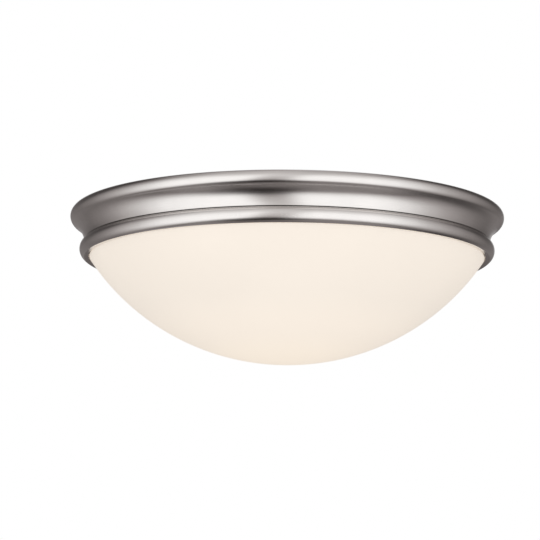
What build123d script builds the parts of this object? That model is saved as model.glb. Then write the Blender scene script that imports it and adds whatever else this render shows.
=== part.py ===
from build123d import *
import math
import os

# Flush mount ceiling light. Millimetres, +Z up, origin on the light's axis in the ceiling plane, so
# that everything hangs below z = 0. A spun steel pan carries an opal glass bowl on three leaf
# springs, with two lamps side by side between them, pointing opposite ways along X.

# ---- Overall sizes
PAN_RADIUS = 175.0            # over the upper band
LIGHT_DEPTH = 122.4           # ceiling to the lowest point of the glass
PAN_WALL = 1.0
FIT = 0.05                    # radial clearance of a close fit
SEAT = 0.3                    # gap to a soft, sprung or curved seat

# ---- Pan, outer profile
UPPER_BAND_BEAD = 6.0         # bead radius
UPPER_BAND_TURN = 58.3        # degrees below level where the bead runs on into the cove
LOWER_BAND_RADIUS = 167.25
LOWER_BAND_BEAD = 7.1
LOWER_BAND_CENTRE = 32.45     # bead centre, below the ceiling
FOLD_TURN = 60.5              # degrees above level where the cove folds into the lower band
LIP_TURN = 64.0               # degrees below level where the lower band ends
LIP_SLOPE = 11.0              # the lip rises inwards
LIP_GAP = 1.1                 # lip to glass
RECESS_RADIUS = 112.0         # flat plate in the middle, pressed down from the ceiling
RECESS_DEPTH = 14.0
RECESS_DRAFT = 6.0
PRESS_BEND = 3.0

# ---- Glass bowl
GLASS_WALL = 4.0
GLASS_SHOULDER = 158.8        # widest radius, just inside the lip
SHOULDER_DROP = 39.0          # where the bowl's curve reaches the shoulder
GLASS_HALF_HEIGHT = 187.0     # vertical half axis of the bowl's elliptical section
COLLAR_STEP = 3.35            # from the shoulder in to the collar
SHOULDER_ROUND = 2.6
RIM_BEAD = 2.5
RIM_BEAD_OUT = 0.2            # bead centre, outside the collar
BOWL_STEPS = 12               # points that shape the bowl's curve
RIM_DROP = 24.5               # rim bead centre, below the ceiling

# ---- Glass clips
CLIP_COUNT = 3
CLIP_FIRST_ANGLE = 90.0
CLIP_WIDTH = 12.0
CLIP_THICK = 0.6
CLIP_FOOT = 15.0
CLIP_LEG_GAP = 5.8            # rim bead centre to the leg
CLIP_TOOTH = 0.95             # from the rim bead centre in to the tooth tip
CLIP_TAIL = 4.2
CLIP_BEND = 1.3

# ---- Mounting strap and pan screws
STRAP_LENGTH = 130.0
STRAP_WIDTH = 25.0
STRAP_THICK = 1.6
STRAP_END_DROP = 3.2
STRAP_FLAT = 100.0
BOX_SLOT_SPACING = 79.4
BOX_SLOT_LENGTH = 16.0
BOX_SLOT_WIDTH = 4.4
STRAP_CENTRE_HOLE = 5.15
PAN_SCREW_SPACING = 114.3
PAN_SCREW_RADIUS = 2.05
PAN_HEAD_RADIUS = 4.1
PAN_HEAD_HEIGHT = 2.6
SCREW_TIP_DEPTH = 0.6
KEYHOLE_TRAVEL = 10.0
KEYHOLE_CLEARANCE = 0.4

# ---- Insulation pad and wire entry
PAD_RADIUS = 100.0
PAD_SCREW_HOLE = 6.0
PAD_ENTRY_HOLE = 13.0
ENTRY_X = -30.0
ENTRY_Y = -28.0
ENTRY_HOLE = 8.0
GROMMET_BORE = 5.0
GROMMET_FLANGE = 10.5
GROMMET_LOWER = 2.0
GROMMET_UPPER = 1.0
GROMMET_BARB = 1.2            # past its neck
GROMMET_NOSE = 0.6            # in from its neck

# ---- Lamps and lampholders. The first is built along +X, and turned half round for the second
LAMP_Y = 36.0
LAMP_DROP = 54.0
LAMP_INSET = 72.8             # from the glass's widest radius in to the lamp's contact
THREAD_PITCH = 3.629
THREAD_CORE = 11.9
THREAD_STAND = 0.4            # rope centre, outside the core
THREAD_ROPE = 0.75
THREAD_GAP = 0.35
THREAD_START = 9.5
THREAD_TURNS = 3
CAP_WALL = 0.8
CAP_START = 6.0
CAP_END = 24.0
CONTACT_RADIUS = 4.6
CONTACT_HEIGHT = 1.5
CONTACT_EDGE = 0.9            # rounding of the contact's rim
INSULATOR_TIP = 0.6           # past the contact all round
INSULATOR_STEP = 1.2
INSULATOR_PLUG = 3.0
NECK_STEP = 1.7               # from the cap's core out to the housing's neck
NECK_LENGTH = 0.8
HOUSING_SWELL = 3.6           # from the neck out to the middle of the housing
HOUSING_PLUG = 6.0
HOUSING_END = 62.0
HOUSING_WALL = 1.6
BULB_RADIUS = 30.0
BULB_LENGTH = 109.0
DIFFUSER_WALL = 1.2
BOARD_RADIUS = 20.5
BOARD_THICK = 1.6
LED_COUNT = 12
LED_CIRCLE = 14.0
LED_SIZE = 3.0
LED_HEIGHT = 0.7
HOLDER_BACK = -10.0           # along the lamp's axis, from its contact
HOLDER_FLOOR = -3.0
HOLDER_STEP = 2.0
HOLDER_MOUTH = 22.5
HOLDER_WALL = 3.35            # porcelain round the shell
HOLDER_REAR_STEP = 2.4        # the rear end is this much wider
HOLDER_REAR_END = 4.0
HOLDER_WELL = 9.5
HOLDER_ROUND = 1.0
SHELL_WALL = 1.65
SHELL_RADIAL_GAP = 0.65
SHELL_FLANGE_HOLE = 9.0
SHELL_FLANGE_THICK = 0.5
SHELL_BELOW_MOUTH = 0.5
HOLDER_SCREW_SPREAD = 13.5
HOLDER_SCREW_RADIUS = 1.7
HOLDER_SCREW_DEPTH = 6.0
HOLDER_HEAD_RADIUS = 3.2
HOLDER_HEAD_HEIGHT = 2.2
TONGUE_WIDTH = 6.0
TONGUE_THICK = 0.5
TONGUE_BEND = 0.7
TONGUE_FOOT = 7.5             # where its foot ends, across the lamp's axis
TONGUE_RISE = (3.6, 2.0)      # where it leaves the floor and where it reaches the contact
TONGUE_TIP = (2.4, 3.6, 1.2)  # where it turns down again, where it ends and how far down

# ---- Lampholder brackets
BRACKET_THICK = 1.2
BRACKET_WIDTH = 28.0
BRACKET_FOOT = 31.0
BRACKET_BELOW = 15.0
BRACKET_ROUND = 5.0
WINDOW_MARGIN = 3.5           # past the leads' holes all round
WINDOW_ROUND = 3.0
RIVET_SPREAD = 16.0
RIVET_INSET = 23.0
RIVET_RADIUS = 1.6
RIVET_HEAD_RADIUS = 3.0
RIVET_HEAD_HEIGHT = 0.9

# ---- Terminal block and wiring
BLOCK_X = 60.0
BLOCK_Y = 34.0
BLOCK_LENGTH = 36.0
BLOCK_DEPTH = 20.0
BLOCK_HEIGHT = 17.0
POLE_PITCH = 11.0
BARREL_DROP = 9.0             # barrel axis, below the pan's plate
BARREL_RADIUS = 3.4
BARREL_BORE = 1.6
BARREL_LENGTH = 16.0
TERMINAL_SCREW_RADIUS = 1.5
TERMINAL_SCREW_SPACING = 8.0
TERMINAL_SCREW_RECESS = 1.0
BLOCK_SCREW_RADIUS = 1.5
BLOCK_HEAD_RADIUS = 2.7
BLOCK_HEAD_HEIGHT = 1.8
BLOCK_SCREW_SEAT = 5.0        # plastic under the screw's head
BLOCK_ROUND = 1.5
TERMINAL_SCREW_ROOM = 0.6
TERMINAL_SLOT_WIDTH = 0.6
LEAD_RADIUS = 1.2
LEAD_HOLE_SPREAD = 6.5
HELD_REACH = 6.0              # how far a lead's arc may reach towards what holds it
EARTH_X = 96.0
RING_RADIUS = 4.0
RING_THICK = 0.8
RING_CRIMP_LENGTH = 6.5
RING_NECK = 2.0               # ring to crimp
RING_NECK_WIDTH = 3.4
EARTH_SCREW_RADIUS = 1.9
EARTH_HEAD_RADIUS = 3.6
EARTH_HEAD_HEIGHT = 2.2
CLIP_ROW_Y = 60.0
LEAD_CLIP_X = 20.0
LEAD_CLIP_LENGTH = 8.0
LEAD_CLIP_WIDTH = 13.0
LEAD_CLIP_HEIGHT = 6.0
LEAD_CLIP_PITCH = 5.0
LEAD_CLIP_STEM = 1.6
LEAD_CLIP_BARB = 2.4
LEAD_CLIP_ROUND = 2.0
LEAD_CLIP_HOLE = 0.6          # hole height, as a share of the clip's
SLOT_WIDTH = 0.9
SLOT_DEPTH = 1.0
TILT_ROUND_SCREW = 25.0       # screw slots stand at odd angles, as left by the driver

# ---- Heights and places that follow
PLATE_TOP = -RECESS_DEPTH
PLATE_UNDER = PLATE_TOP - PAN_WALL
UPPER_CENTRE = (PAN_RADIUS - UPPER_BAND_BEAD, -UPPER_BAND_BEAD)
LOWER_CENTRE = (LOWER_BAND_RADIUS - LOWER_BAND_BEAD, -LOWER_BAND_CENTRE)
LIP_RADIUS = GLASS_SHOULDER + LIP_GAP
COLLAR_RADIUS = GLASS_SHOULDER - COLLAR_STEP
LAMP_TIP = LAMP_INSET - GLASS_SHOULDER
BARREL_Z = PLATE_UNDER - BARREL_DROP
FOOT_UNDER = PLATE_UNDER - BRACKET_THICK
BACK_X = LAMP_TIP + HOLDER_BACK
LEG_X = BACK_X - BRACKET_THICK
RIVET_X = LEG_X + RIVET_INSET
SHELL_INNER = THREAD_CORE + SHELL_RADIAL_GAP
SHELL_OUTER = SHELL_INNER + SHELL_WALL
THREAD_CENTRE = THREAD_CORE + THREAD_STAND
HOUSING_NECK = THREAD_CORE + NECK_STEP
HOUSING_WAIST = HOUSING_NECK + HOUSING_SWELL
HOLDER_FRONT_RADIUS = SHELL_OUTER + FIT + HOLDER_WALL
HOLDER_REAR_RADIUS = HOLDER_FRONT_RADIUS + HOLDER_REAR_STEP
CAP_SEAT = THREAD_CORE - CAP_WALL - FIT
PAD_UNDER = PLATE_TOP + RIVET_HEAD_HEIGHT + SEAT
PAD_TOP = -STRAP_END_DROP - STRAP_THICK - SEAT
SCREW_HOLE = PAN_SCREW_RADIUS + FIT
RIVETS = (LAMP_Y - RIVET_SPREAD / 2, LAMP_Y + RIVET_SPREAD / 2)
LEAD_CLIPS = (-LEAD_CLIP_X, LEAD_CLIP_X)
BLOCK_SCREWS = (BLOCK_Y - POLE_PITCH / 2, BLOCK_Y + POLE_PITCH / 2)
POLES = (BLOCK_Y - POLE_PITCH, BLOCK_Y, BLOCK_Y + POLE_PITCH)
TERMINALS = (BLOCK_X - TERMINAL_SCREW_SPACING / 2, BLOCK_X + TERMINAL_SCREW_SPACING / 2)

LOW = (Align.CENTER, Align.CENTER, Align.MIN)
HIGH = (Align.CENTER, Align.CENTER, Align.MAX)


def on_circle(centre, radius, degrees):
    angle = math.radians(degrees)
    return (centre[0] + radius * math.cos(angle), centre[1] + radius * math.sin(angle))


def turned(edges):
    """A solid of revolution about Z, from a closed outline of (radius, height)."""
    return revolve(Plane.XZ * make_face(edges), Axis.Z)


def turned_shape(points):
    """The same, from the corners of a straight-sided outline."""
    return turned(Polyline(*points, close=True).edges())


def rod(radius, low, high, x=0.0, y=0.0):
    """An upright cylinder between two heights."""
    return Pos(x, y, low) * Cylinder(radius, high - low, align=LOW)


def strip(points, thickness, width, bend, side=Side.RIGHT):
    """A bent strip: a path in (across, up), its thickness to one side, extruded both ways."""
    path = Wire(FilletPolyline(*points, radius=bend).edges())
    outline = offset(path, amount=thickness, side=side, kind=Kind.ARC)
    return extrude(Plane.XZ * make_face(outline.edges()), width / 2, both=True)


def screw(shank_radius, head_radius, head_height, length, turn):
    """A slotted screw, its head hanging below z = 0 and its shank rising above."""
    head = rod(head_radius, -head_height, 0)
    head = fillet(head.edges().sort_by(Axis.Z)[0], head_height * 0.35)
    slot = Box(3 * head_radius, SLOT_WIDTH, SLOT_DEPTH, align=LOW)
    head -= Rot(0, 0, turn) * Pos(0, 0, -head_height) * slot
    return head + rod(shank_radius, 0, length)


def second(shape):
    """The same piece of the other lamp's set, half a turn round the light."""
    return Rot(0, 0, 180) * shape


def along_lamp(shape):
    """Places a shape drawn up the Z axis from the lamp's contact along the first lamp's axis."""
    return Pos(LAMP_TIP, LAMP_Y, -LAMP_DROP) * Rot(0, 90, 0) * shape


def make_pan():
    bead_end = on_circle(UPPER_CENTRE, UPPER_BAND_BEAD, -UPPER_BAND_TURN)
    fold = on_circle(LOWER_CENTRE, LOWER_BAND_BEAD, FOLD_TURN)
    lip_corner = on_circle(LOWER_CENTRE, LOWER_BAND_BEAD, -LIP_TURN)
    # the cove runs on from the upper bead and is upright at the fold
    across, up = bead_end[0] - fold[0], bead_end[1] - fold[1]
    cove = (across**2 + up**2) / (2 * across)
    cove_centre = (fold[0] + cove, fold[1])
    cove_start = math.degrees(math.atan2(up, across - cove))
    rise = (lip_corner[0] - LIP_RADIUS) * math.tan(math.radians(LIP_SLOPE))
    plate = FilletPolyline(
        (0, PLATE_TOP),
        (RECESS_RADIUS, PLATE_TOP),
        (RECESS_RADIUS + RECESS_DRAFT, 0),
        (UPPER_CENTRE[0], 0),
        radius=PRESS_BEND,
    )
    outside = Wire([
        *plate.edges(),
        CenterArc(UPPER_CENTRE, UPPER_BAND_BEAD, 90, -90 - UPPER_BAND_TURN),
        CenterArc(cove_centre, cove, cove_start, 180 - cove_start),
        CenterArc(LOWER_CENTRE, LOWER_BAND_BEAD, FOLD_TURN, -FOLD_TURN - LIP_TURN),
        Line(lip_corner, (LIP_RADIUS, lip_corner[1] + rise)),
    ])
    section = offset(outside, amount=PAN_WALL, side=Side.RIGHT, kind=Kind.ARC)
    pan = turned(section.edges())
    wide, narrow = PAN_HEAD_RADIUS + KEYHOLE_CLEARANCE, PAN_SCREW_RADIUS + KEYHOLE_CLEARANCE
    holes = [(ENTRY_HOLE, ENTRY_X, ENTRY_Y), (EARTH_SCREW_RADIUS + FIT, EARTH_X, BLOCK_Y)]
    holes += [(LEAD_CLIP_STEM + FIT, x, CLIP_ROW_Y) for x in LEAD_CLIPS]
    holes += [(BLOCK_SCREW_RADIUS + FIT, BLOCK_X, y) for y in BLOCK_SCREWS]
    for side in (1, -1):
        x = side * PAN_SCREW_SPACING / 2
        holes += [(wide, x, -side * KEYHOLE_TRAVEL), (narrow, x, 0)]
        holes += [(RIVET_RADIUS + FIT, side * RIVET_X, side * y) for y in RIVETS]
        slot = Box(2 * narrow, KEYHOLE_TRAVEL, PAN_WALL + 2)
        pan -= Pos(x, -side * KEYHOLE_TRAVEL / 2, (PLATE_TOP + PLATE_UNDER) / 2) * slot
    for radius, x, y in holes:
        pan -= rod(radius, PLATE_UNDER - 1, PLATE_TOP + 1, x, y)
    return pan


def bowl_curve(half_width, half_height, end):
    """A quarter ellipse about the bowl's centre, from its lowest point out to an angle below level."""
    centre = GLASS_HALF_HEIGHT - LIGHT_DEPTH
    turns = [math.radians(-90 + (90 + end) * step / BOWL_STEPS) for step in range(1, BOWL_STEPS + 1)]
    points = [(half_width * math.cos(turn), centre + half_height * math.sin(turn)) for turn in turns]
    last = (-half_width * math.sin(turns[-1]), half_height * math.cos(turns[-1]))
    return Spline((0, centre - half_height), *points, tangents=((1, 0), last))


def make_glass():
    centre = GLASS_HALF_HEIGHT - LIGHT_DEPTH
    outer_end = math.degrees(math.asin((-SHOULDER_DROP - centre) / GLASS_HALF_HEIGHT))
    outer_axis = GLASS_SHOULDER / math.cos(math.radians(outer_end))
    inner_axis = outer_axis - GLASS_WALL
    inner_radius = COLLAR_RADIUS - GLASS_WALL
    inner_end = -math.degrees(math.acos(inner_radius / inner_axis))
    outer = bowl_curve(outer_axis, GLASS_HALF_HEIGHT, outer_end)
    inner = bowl_curve(inner_axis, GLASS_HALF_HEIGHT - GLASS_WALL, inner_end)
    shoulder = (GLASS_SHOULDER - SHOULDER_ROUND / 5, -SHOULDER_DROP + SHOULDER_ROUND)
    collar_low = (COLLAR_RADIUS, -SHOULDER_DROP + SHOULDER_ROUND + COLLAR_STEP * 0.6)
    bead_low = (COLLAR_RADIUS, -RIM_DROP - math.sqrt(RIM_BEAD**2 - RIM_BEAD_OUT**2))
    bead = (COLLAR_RADIUS + RIM_BEAD_OUT, -RIM_DROP)
    bead_top = (bead[0], bead[1] + RIM_BEAD)
    rim_round = GLASS_WALL * 0.3
    rim = (inner_radius + rim_round, bead_top[1] - rim_round)
    return turned([
        outer,
        Spline(outer @ 1, shoulder, collar_low, tangents=(outer % 1, (0, 1))),
        Line(collar_low, bead_low),
        ThreePointArc(bead_low, (bead[0] + RIM_BEAD, bead[1]), bead_top),
        Line(bead_top, (rim[0], bead_top[1])),
        ThreePointArc((rim[0], bead_top[1]), on_circle(rim, rim_round, 135), (inner_radius, rim[1])),
        Line((inner_radius, rim[1]), inner @ 1),
        inner,
        Line(inner @ 0, outer @ 0),
    ])


def make_glass_clips():
    """Leaf springs under the pan, each with a notch that takes the glass's rim bead."""
    bead = (COLLAR_RADIUS + RIM_BEAD_OUT, -RIM_DROP)
    notch = (RIM_BEAD + SEAT) * math.sqrt(2)
    tip = notch - CLIP_TOOTH
    leg = bead[0] + CLIP_LEG_GAP
    back = CLIP_LEG_GAP - CLIP_TOOTH
    top = -PAN_WALL
    points = [
        (leg - CLIP_FOOT, top - CLIP_THICK),
        (leg, top - CLIP_THICK),
        (leg, bead[1] + tip + back),
        (bead[0] + CLIP_TOOTH, bead[1] + tip),
        (bead[0] + notch, bead[1]),
        (bead[0] + CLIP_TOOTH, bead[1] - tip),
        (bead[0] + CLIP_TOOTH + CLIP_TAIL, bead[1] - tip - CLIP_TAIL),
    ]
    clip = strip(points, CLIP_THICK, CLIP_WIDTH, CLIP_BEND, Side.LEFT)
    step = 360 / CLIP_COUNT
    return [Rot(0, 0, CLIP_FIRST_ANGLE + step * index) * clip for index in range(CLIP_COUNT)]


def make_strap():
    half, flat = STRAP_LENGTH / 2, STRAP_FLAT / 2
    top = [(-half, -STRAP_END_DROP), (-flat - STRAP_END_DROP, -STRAP_END_DROP), (-flat, 0)]
    top += [(-x, z) for x, z in reversed(top)]
    under = [(x, z - STRAP_THICK) for x, z in reversed(top)]
    section = Plane.XZ * make_face(Polyline(*top, *under, close=True).edges())
    strap = extrude(section, STRAP_WIDTH / 2, both=True)
    strap = fillet(strap.edges().filter_by(Axis.Z), STRAP_WIDTH / 4)
    strap -= rod(STRAP_CENTRE_HOLE, -STRAP_THICK - 1, 1)
    for side in (1, -1):
        slot = extrude(SlotOverall(BOX_SLOT_LENGTH, BOX_SLOT_WIDTH), STRAP_THICK + 1, both=True)
        strap -= Pos(side * BOX_SLOT_SPACING / 2, 0, 0) * slot
        strap -= rod(SCREW_HOLE, -STRAP_END_DROP - STRAP_THICK - 1, 1, side * PAN_SCREW_SPACING / 2)
    return strap


def make_pan_screws():
    length = -SCREW_TIP_DEPTH - PLATE_UNDER
    one = screw(PAN_SCREW_RADIUS, PAN_HEAD_RADIUS, PAN_HEAD_HEIGHT, length, TILT_ROUND_SCREW)
    return [Pos(side * PAN_SCREW_SPACING / 2, 0, PLATE_UNDER) * one for side in (1, -1)]


def make_pad():
    pad = rod(PAD_RADIUS, PAD_UNDER, PAD_TOP)
    pad -= rod(PAD_ENTRY_HOLE, PAD_UNDER - 1, PAD_TOP + 1, ENTRY_X, ENTRY_Y)
    for side in (1, -1):
        pad -= rod(PAD_SCREW_HOLE, PAD_UNDER - 1, PAD_TOP + 1, side * PAN_SCREW_SPACING / 2)
    return pad


def make_grommet():
    neck = ENTRY_HOLE - FIT
    low, high = PLATE_UNDER - GROMMET_LOWER, PLATE_TOP + GROMMET_UPPER
    outline = [
        (GROMMET_BORE, low), (GROMMET_FLANGE, low), (GROMMET_FLANGE, PLATE_UNDER), (neck, PLATE_UNDER),
        (neck, PLATE_TOP), (neck + GROMMET_BARB, PLATE_TOP), (neck - GROMMET_NOSE, high),
        (GROMMET_BORE, high),
    ]
    return Pos(ENTRY_X, ENTRY_Y, 0) * turned_shape(outline)


def make_bracket():
    low = -LAMP_DROP - BRACKET_BELOW
    points = [(LEG_X, low), (LEG_X, PLATE_UNDER), (LEG_X + BRACKET_FOOT, PLATE_UNDER)]
    bracket = Pos(0, LAMP_Y, 0) * strip(points, BRACKET_THICK, BRACKET_WIDTH, 2 * BRACKET_THICK)
    corners = bracket.edges().filter_by(Axis.X).filter_by(lambda edge: edge.length < 2 * BRACKET_THICK)
    bracket = fillet(corners.sort_by(Axis.Z)[:2], BRACKET_ROUND)
    for up in (1, -1):
        hole = Cylinder(HOLDER_SCREW_RADIUS + FIT, 4 * BRACKET_THICK)
        place = Pos(LEG_X, LAMP_Y, -LAMP_DROP + up * HOLDER_SCREW_SPREAD)
        bracket -= place * Rot(0, 90, 0) * hole
    window = Box(4 * BRACKET_THICK, 2 * (LEAD_HOLE_SPREAD + WINDOW_MARGIN), 2 * WINDOW_MARGIN)
    window = fillet(window.edges().filter_by(Axis.X), WINDOW_ROUND)
    bracket -= Pos(LEG_X, LAMP_Y, -LAMP_DROP) * window
    for y in RIVETS:
        bracket -= rod(RIVET_RADIUS + FIT, FOOT_UNDER - 1, PLATE_UNDER + 1, RIVET_X, y)
    return bracket


def make_bracket_rivets():
    rivet = rod(RIVET_RADIUS, FOOT_UNDER, PLATE_TOP)
    under = Pos(0, 0, FOOT_UNDER) * Cylinder(RIVET_HEAD_RADIUS, RIVET_HEAD_HEIGHT, align=HIGH)
    rivet += fillet(under.edges().sort_by(Axis.Z)[0], RIVET_HEAD_HEIGHT * 0.7)
    rivet += rod(RIVET_HEAD_RADIUS, PLATE_TOP, PLATE_TOP + RIVET_HEAD_HEIGHT)
    return [Pos(side * RIVET_X, side * y, 0) * rivet for side in (1, -1) for y in RIVETS]


def make_holder_body():
    """Porcelain cup, drawn up Z: a wide rear end, a step that seats the shell, a well for the contact."""
    bore = SHELL_OUTER + FIT
    outline = [
        (0, HOLDER_BACK), (HOLDER_REAR_RADIUS, HOLDER_BACK), (HOLDER_REAR_RADIUS, HOLDER_REAR_END),
        (HOLDER_FRONT_RADIUS, HOLDER_REAR_END + HOLDER_STEP), (HOLDER_FRONT_RADIUS, HOLDER_MOUTH),
        (bore, HOLDER_MOUTH), (bore, HOLDER_STEP), (HOLDER_WELL, HOLDER_STEP), (HOLDER_WELL, HOLDER_FLOOR),
        (0, HOLDER_FLOOR),
    ]
    body = turned_shape(outline)
    rims = body.edges().filter_by(GeomType.CIRCLE).filter_by(lambda edge: edge.radius > bore + 1)
    body = fillet(rims, HOLDER_ROUND)
    for side in (1, -1):
        body -= rod(LEAD_RADIUS + 2 * FIT, HOLDER_BACK - 1, HOLDER_FLOOR + 1, 0, side * LEAD_HOLE_SPREAD)
        depth = HOLDER_BACK + HOLDER_SCREW_DEPTH + FIT
        body -= rod(HOLDER_SCREW_RADIUS + FIT, HOLDER_BACK - 1, depth, side * HOLDER_SCREW_SPREAD, 0)
    return along_lamp(body)


def thread(rope, start, turns):
    """A round thread of the lamp cap's pitch, as a coil up the Z axis."""
    coil = Helix(pitch=THREAD_PITCH, height=THREAD_PITCH * turns, radius=THREAD_CENTRE)
    section = Plane(origin=coil @ 0, z_dir=coil % 0) * Circle(rope)
    return Pos(0, 0, start) * sweep(section, path=coil, is_frenet=True)


def make_screw_shell():
    shell = rod(SHELL_OUTER, HOLDER_STEP, HOLDER_MOUTH - SHELL_BELOW_MOUTH)
    # the groove starts a turn below the lamp's thread and runs out past the mouth
    inside = rod(SHELL_INNER, HOLDER_STEP + SHELL_FLANGE_THICK, HOLDER_MOUTH + 10)
    inside += thread(THREAD_ROPE + THREAD_GAP, THREAD_START - THREAD_PITCH, THREAD_TURNS + 3)
    shell -= inside
    shell -= rod(SHELL_FLANGE_HOLE, HOLDER_STEP - 1, HOLDER_STEP + 2)
    return along_lamp(shell)


def make_contact_tongue():
    """Spring strip on the porcelain floor, raised to just under the lamp's contact."""
    rest = -SEAT - TONGUE_THICK
    turn, end, fall = TONGUE_TIP
    points = [(-TONGUE_FOOT, HOLDER_FLOOR), (-TONGUE_RISE[0], HOLDER_FLOOR), (-TONGUE_RISE[1], rest)]
    points += [(turn, rest), (end, rest - fall)]
    tongue = strip(points, TONGUE_THICK, TONGUE_WIDTH, TONGUE_BEND, Side.LEFT)
    return along_lamp(Rot(0, 0, 90) * tongue)


def make_holder_screws():
    length = BRACKET_THICK + HOLDER_SCREW_DEPTH
    one = screw(HOLDER_SCREW_RADIUS, HOLDER_HEAD_RADIUS, HOLDER_HEAD_HEIGHT, length, TILT_ROUND_SCREW)
    place = HOLDER_BACK - BRACKET_THICK
    return [along_lamp(Pos(side * HOLDER_SCREW_SPREAD, 0, place) * one) for side in (1, -1)]


def make_cap():
    cap = rod(THREAD_CORE, CAP_START, CAP_END)
    cap += thread(THREAD_ROPE, THREAD_START, THREAD_TURNS)
    cap -= rod(THREAD_CORE - CAP_WALL, CAP_START - 1, CAP_END + 1)
    return along_lamp(cap)


def make_cap_insulator():
    tip = CONTACT_RADIUS + INSULATOR_TIP
    outline = [
        (0, CONTACT_HEIGHT), (tip, CONTACT_HEIGHT), (tip + 1, CONTACT_HEIGHT + INSULATOR_STEP),
        (CAP_SEAT, CAP_START), (CAP_SEAT, CAP_START + INSULATOR_PLUG), (0, CAP_START + INSULATOR_PLUG),
    ]
    return along_lamp(turned_shape(outline))


def make_cap_contact():
    edge = CONTACT_RADIUS - CONTACT_EDGE
    middle = (CONTACT_RADIUS - CONTACT_HEIGHT / 6, CONTACT_EDGE / 2)
    profile = [
        Line((0, 0), (edge, 0)),
        ThreePointArc((edge, 0), middle, (CONTACT_RADIUS, CONTACT_HEIGHT)),
        Line((CONTACT_RADIUS, CONTACT_HEIGHT), (0, CONTACT_HEIGHT)),
        Line((0, CONTACT_HEIGHT), (0, 0)),
    ]
    return along_lamp(turned(profile))


def bulb_centre():
    return BULB_LENGTH - BULB_RADIUS


def dome_radius(height, radius):
    return math.sqrt(radius**2 - (height - bulb_centre()) ** 2)


def make_housing():
    """Plastic housing: a plug in the cap, a flaring body and a deck that carries the LED board."""
    rim = dome_radius(HOUSING_END, BULB_RADIUS)
    start = CAP_END + NECK_LENGTH
    middle = (start + HOUSING_END) / 2
    ledge = HOUSING_END - BOARD_THICK
    deck = ledge - HOUSING_WALL
    plug = CAP_END - HOUSING_PLUG
    bore = CAP_SEAT - HOUSING_WALL
    neck = (HOUSING_NECK - HOUSING_WALL, start + HOUSING_WALL)
    inside = rim - HOUSING_WALL
    waist = HOUSING_WAIST - HOUSING_WALL
    profile = [
        *Polyline(
            (bore, plug), (CAP_SEAT, plug), (CAP_SEAT, CAP_END), (HOUSING_NECK, CAP_END),
            (HOUSING_NECK, start),
        ).edges(),
        ThreePointArc((HOUSING_NECK, start), (HOUSING_WAIST, middle), (rim, HOUSING_END)),
        *Polyline(
            (rim, HOUSING_END), (inside, HOUSING_END), (inside, ledge), (0, ledge), (0, deck),
            (inside - HOUSING_WALL, deck),
        ).edges(),
        ThreePointArc((inside - HOUSING_WALL, deck), (waist, middle), neck),
        *Polyline(neck, (bore, start), (bore, plug)).edges(),
    ]
    return along_lamp(turned(profile))


def make_board():
    base = HOUSING_END - BOARD_THICK
    board = rod(BOARD_RADIUS, base, HOUSING_END)
    for index in range(LED_COUNT):
        chip = Pos(LED_CIRCLE, 0, HOUSING_END) * Box(LED_SIZE, LED_SIZE, LED_HEIGHT, align=LOW)
        board += Rot(0, 0, 360 / LED_COUNT * index) * chip
    return along_lamp(board)


def make_diffuser():
    centre = bulb_centre()
    outer = dome_radius(HOUSING_END, BULB_RADIUS)
    inner = dome_radius(HOUSING_END, BULB_RADIUS - DIFFUSER_WALL)
    low_angle = math.degrees(math.asin((HOUSING_END - centre) / BULB_RADIUS))
    low_inner = math.degrees(math.asin((HOUSING_END - centre) / (BULB_RADIUS - DIFFUSER_WALL)))
    profile = [
        CenterArc((0, centre), BULB_RADIUS, low_angle, 90 - low_angle),
        Line((0, BULB_LENGTH), (0, BULB_LENGTH - DIFFUSER_WALL)),
        CenterArc((0, centre), BULB_RADIUS - DIFFUSER_WALL, 90, low_inner - 90),
        Line((inner, HOUSING_END), (outer, HOUSING_END)),
    ]
    return along_lamp(turned(profile))


def make_terminal_block():
    block = Box(BLOCK_DEPTH, BLOCK_LENGTH, BLOCK_HEIGHT, align=HIGH)
    block = Pos(BLOCK_X, BLOCK_Y, PLATE_UNDER) * fillet(block.edges().filter_by(Axis.Z), BLOCK_ROUND)
    low = PLATE_UNDER - BLOCK_HEIGHT
    for y in POLES:
        tunnel = Cylinder(BARREL_RADIUS + FIT, BLOCK_DEPTH + 2)
        block -= Pos(BLOCK_X, y, BARREL_Z) * Rot(0, 90, 0) * tunnel
        for x in TERMINALS:
            block -= rod(TERMINAL_SCREW_RADIUS + TERMINAL_SCREW_ROOM, low - 1, BARREL_Z, x, y)
    for y in BLOCK_SCREWS:
        block -= rod(BLOCK_SCREW_RADIUS + FIT, low - 1, PLATE_UNDER + 1, BLOCK_X, y)
        block -= rod(BLOCK_HEAD_RADIUS + SEAT, low - 1, PLATE_UNDER - BLOCK_SCREW_SEAT, BLOCK_X, y)
    return block


def make_terminal_barrels():
    barrel = Cylinder(BARREL_RADIUS, BARREL_LENGTH) - Cylinder(BARREL_BORE, BARREL_LENGTH + 2)
    barrel = Rot(0, 90, 0) * barrel
    barrels = []
    for y in POLES:
        placed = Pos(BLOCK_X, y, BARREL_Z) * barrel
        for x in TERMINALS:
            placed -= rod(TERMINAL_SCREW_RADIUS + FIT, BARREL_Z - BARREL_RADIUS - 1, BARREL_Z, x, y)
        barrels.append(placed)
    return barrels


def make_terminal_screws():
    low = PLATE_UNDER - BLOCK_HEIGHT + TERMINAL_SCREW_RECESS
    high = BARREL_Z - LEAD_RADIUS - FIT
    screws = []
    for row, y in enumerate(POLES):
        for column, x in enumerate(TERMINALS):
            turn = TILT_ROUND_SCREW * (row + 2 * column)
            slot = Box(4 * TERMINAL_SCREW_RADIUS, TERMINAL_SLOT_WIDTH, 2 * SLOT_DEPTH)
            grub = rod(TERMINAL_SCREW_RADIUS, 0, high - low) - Rot(0, 0, turn) * slot
            screws.append(Pos(x, y, low) * grub)
    return screws


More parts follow.
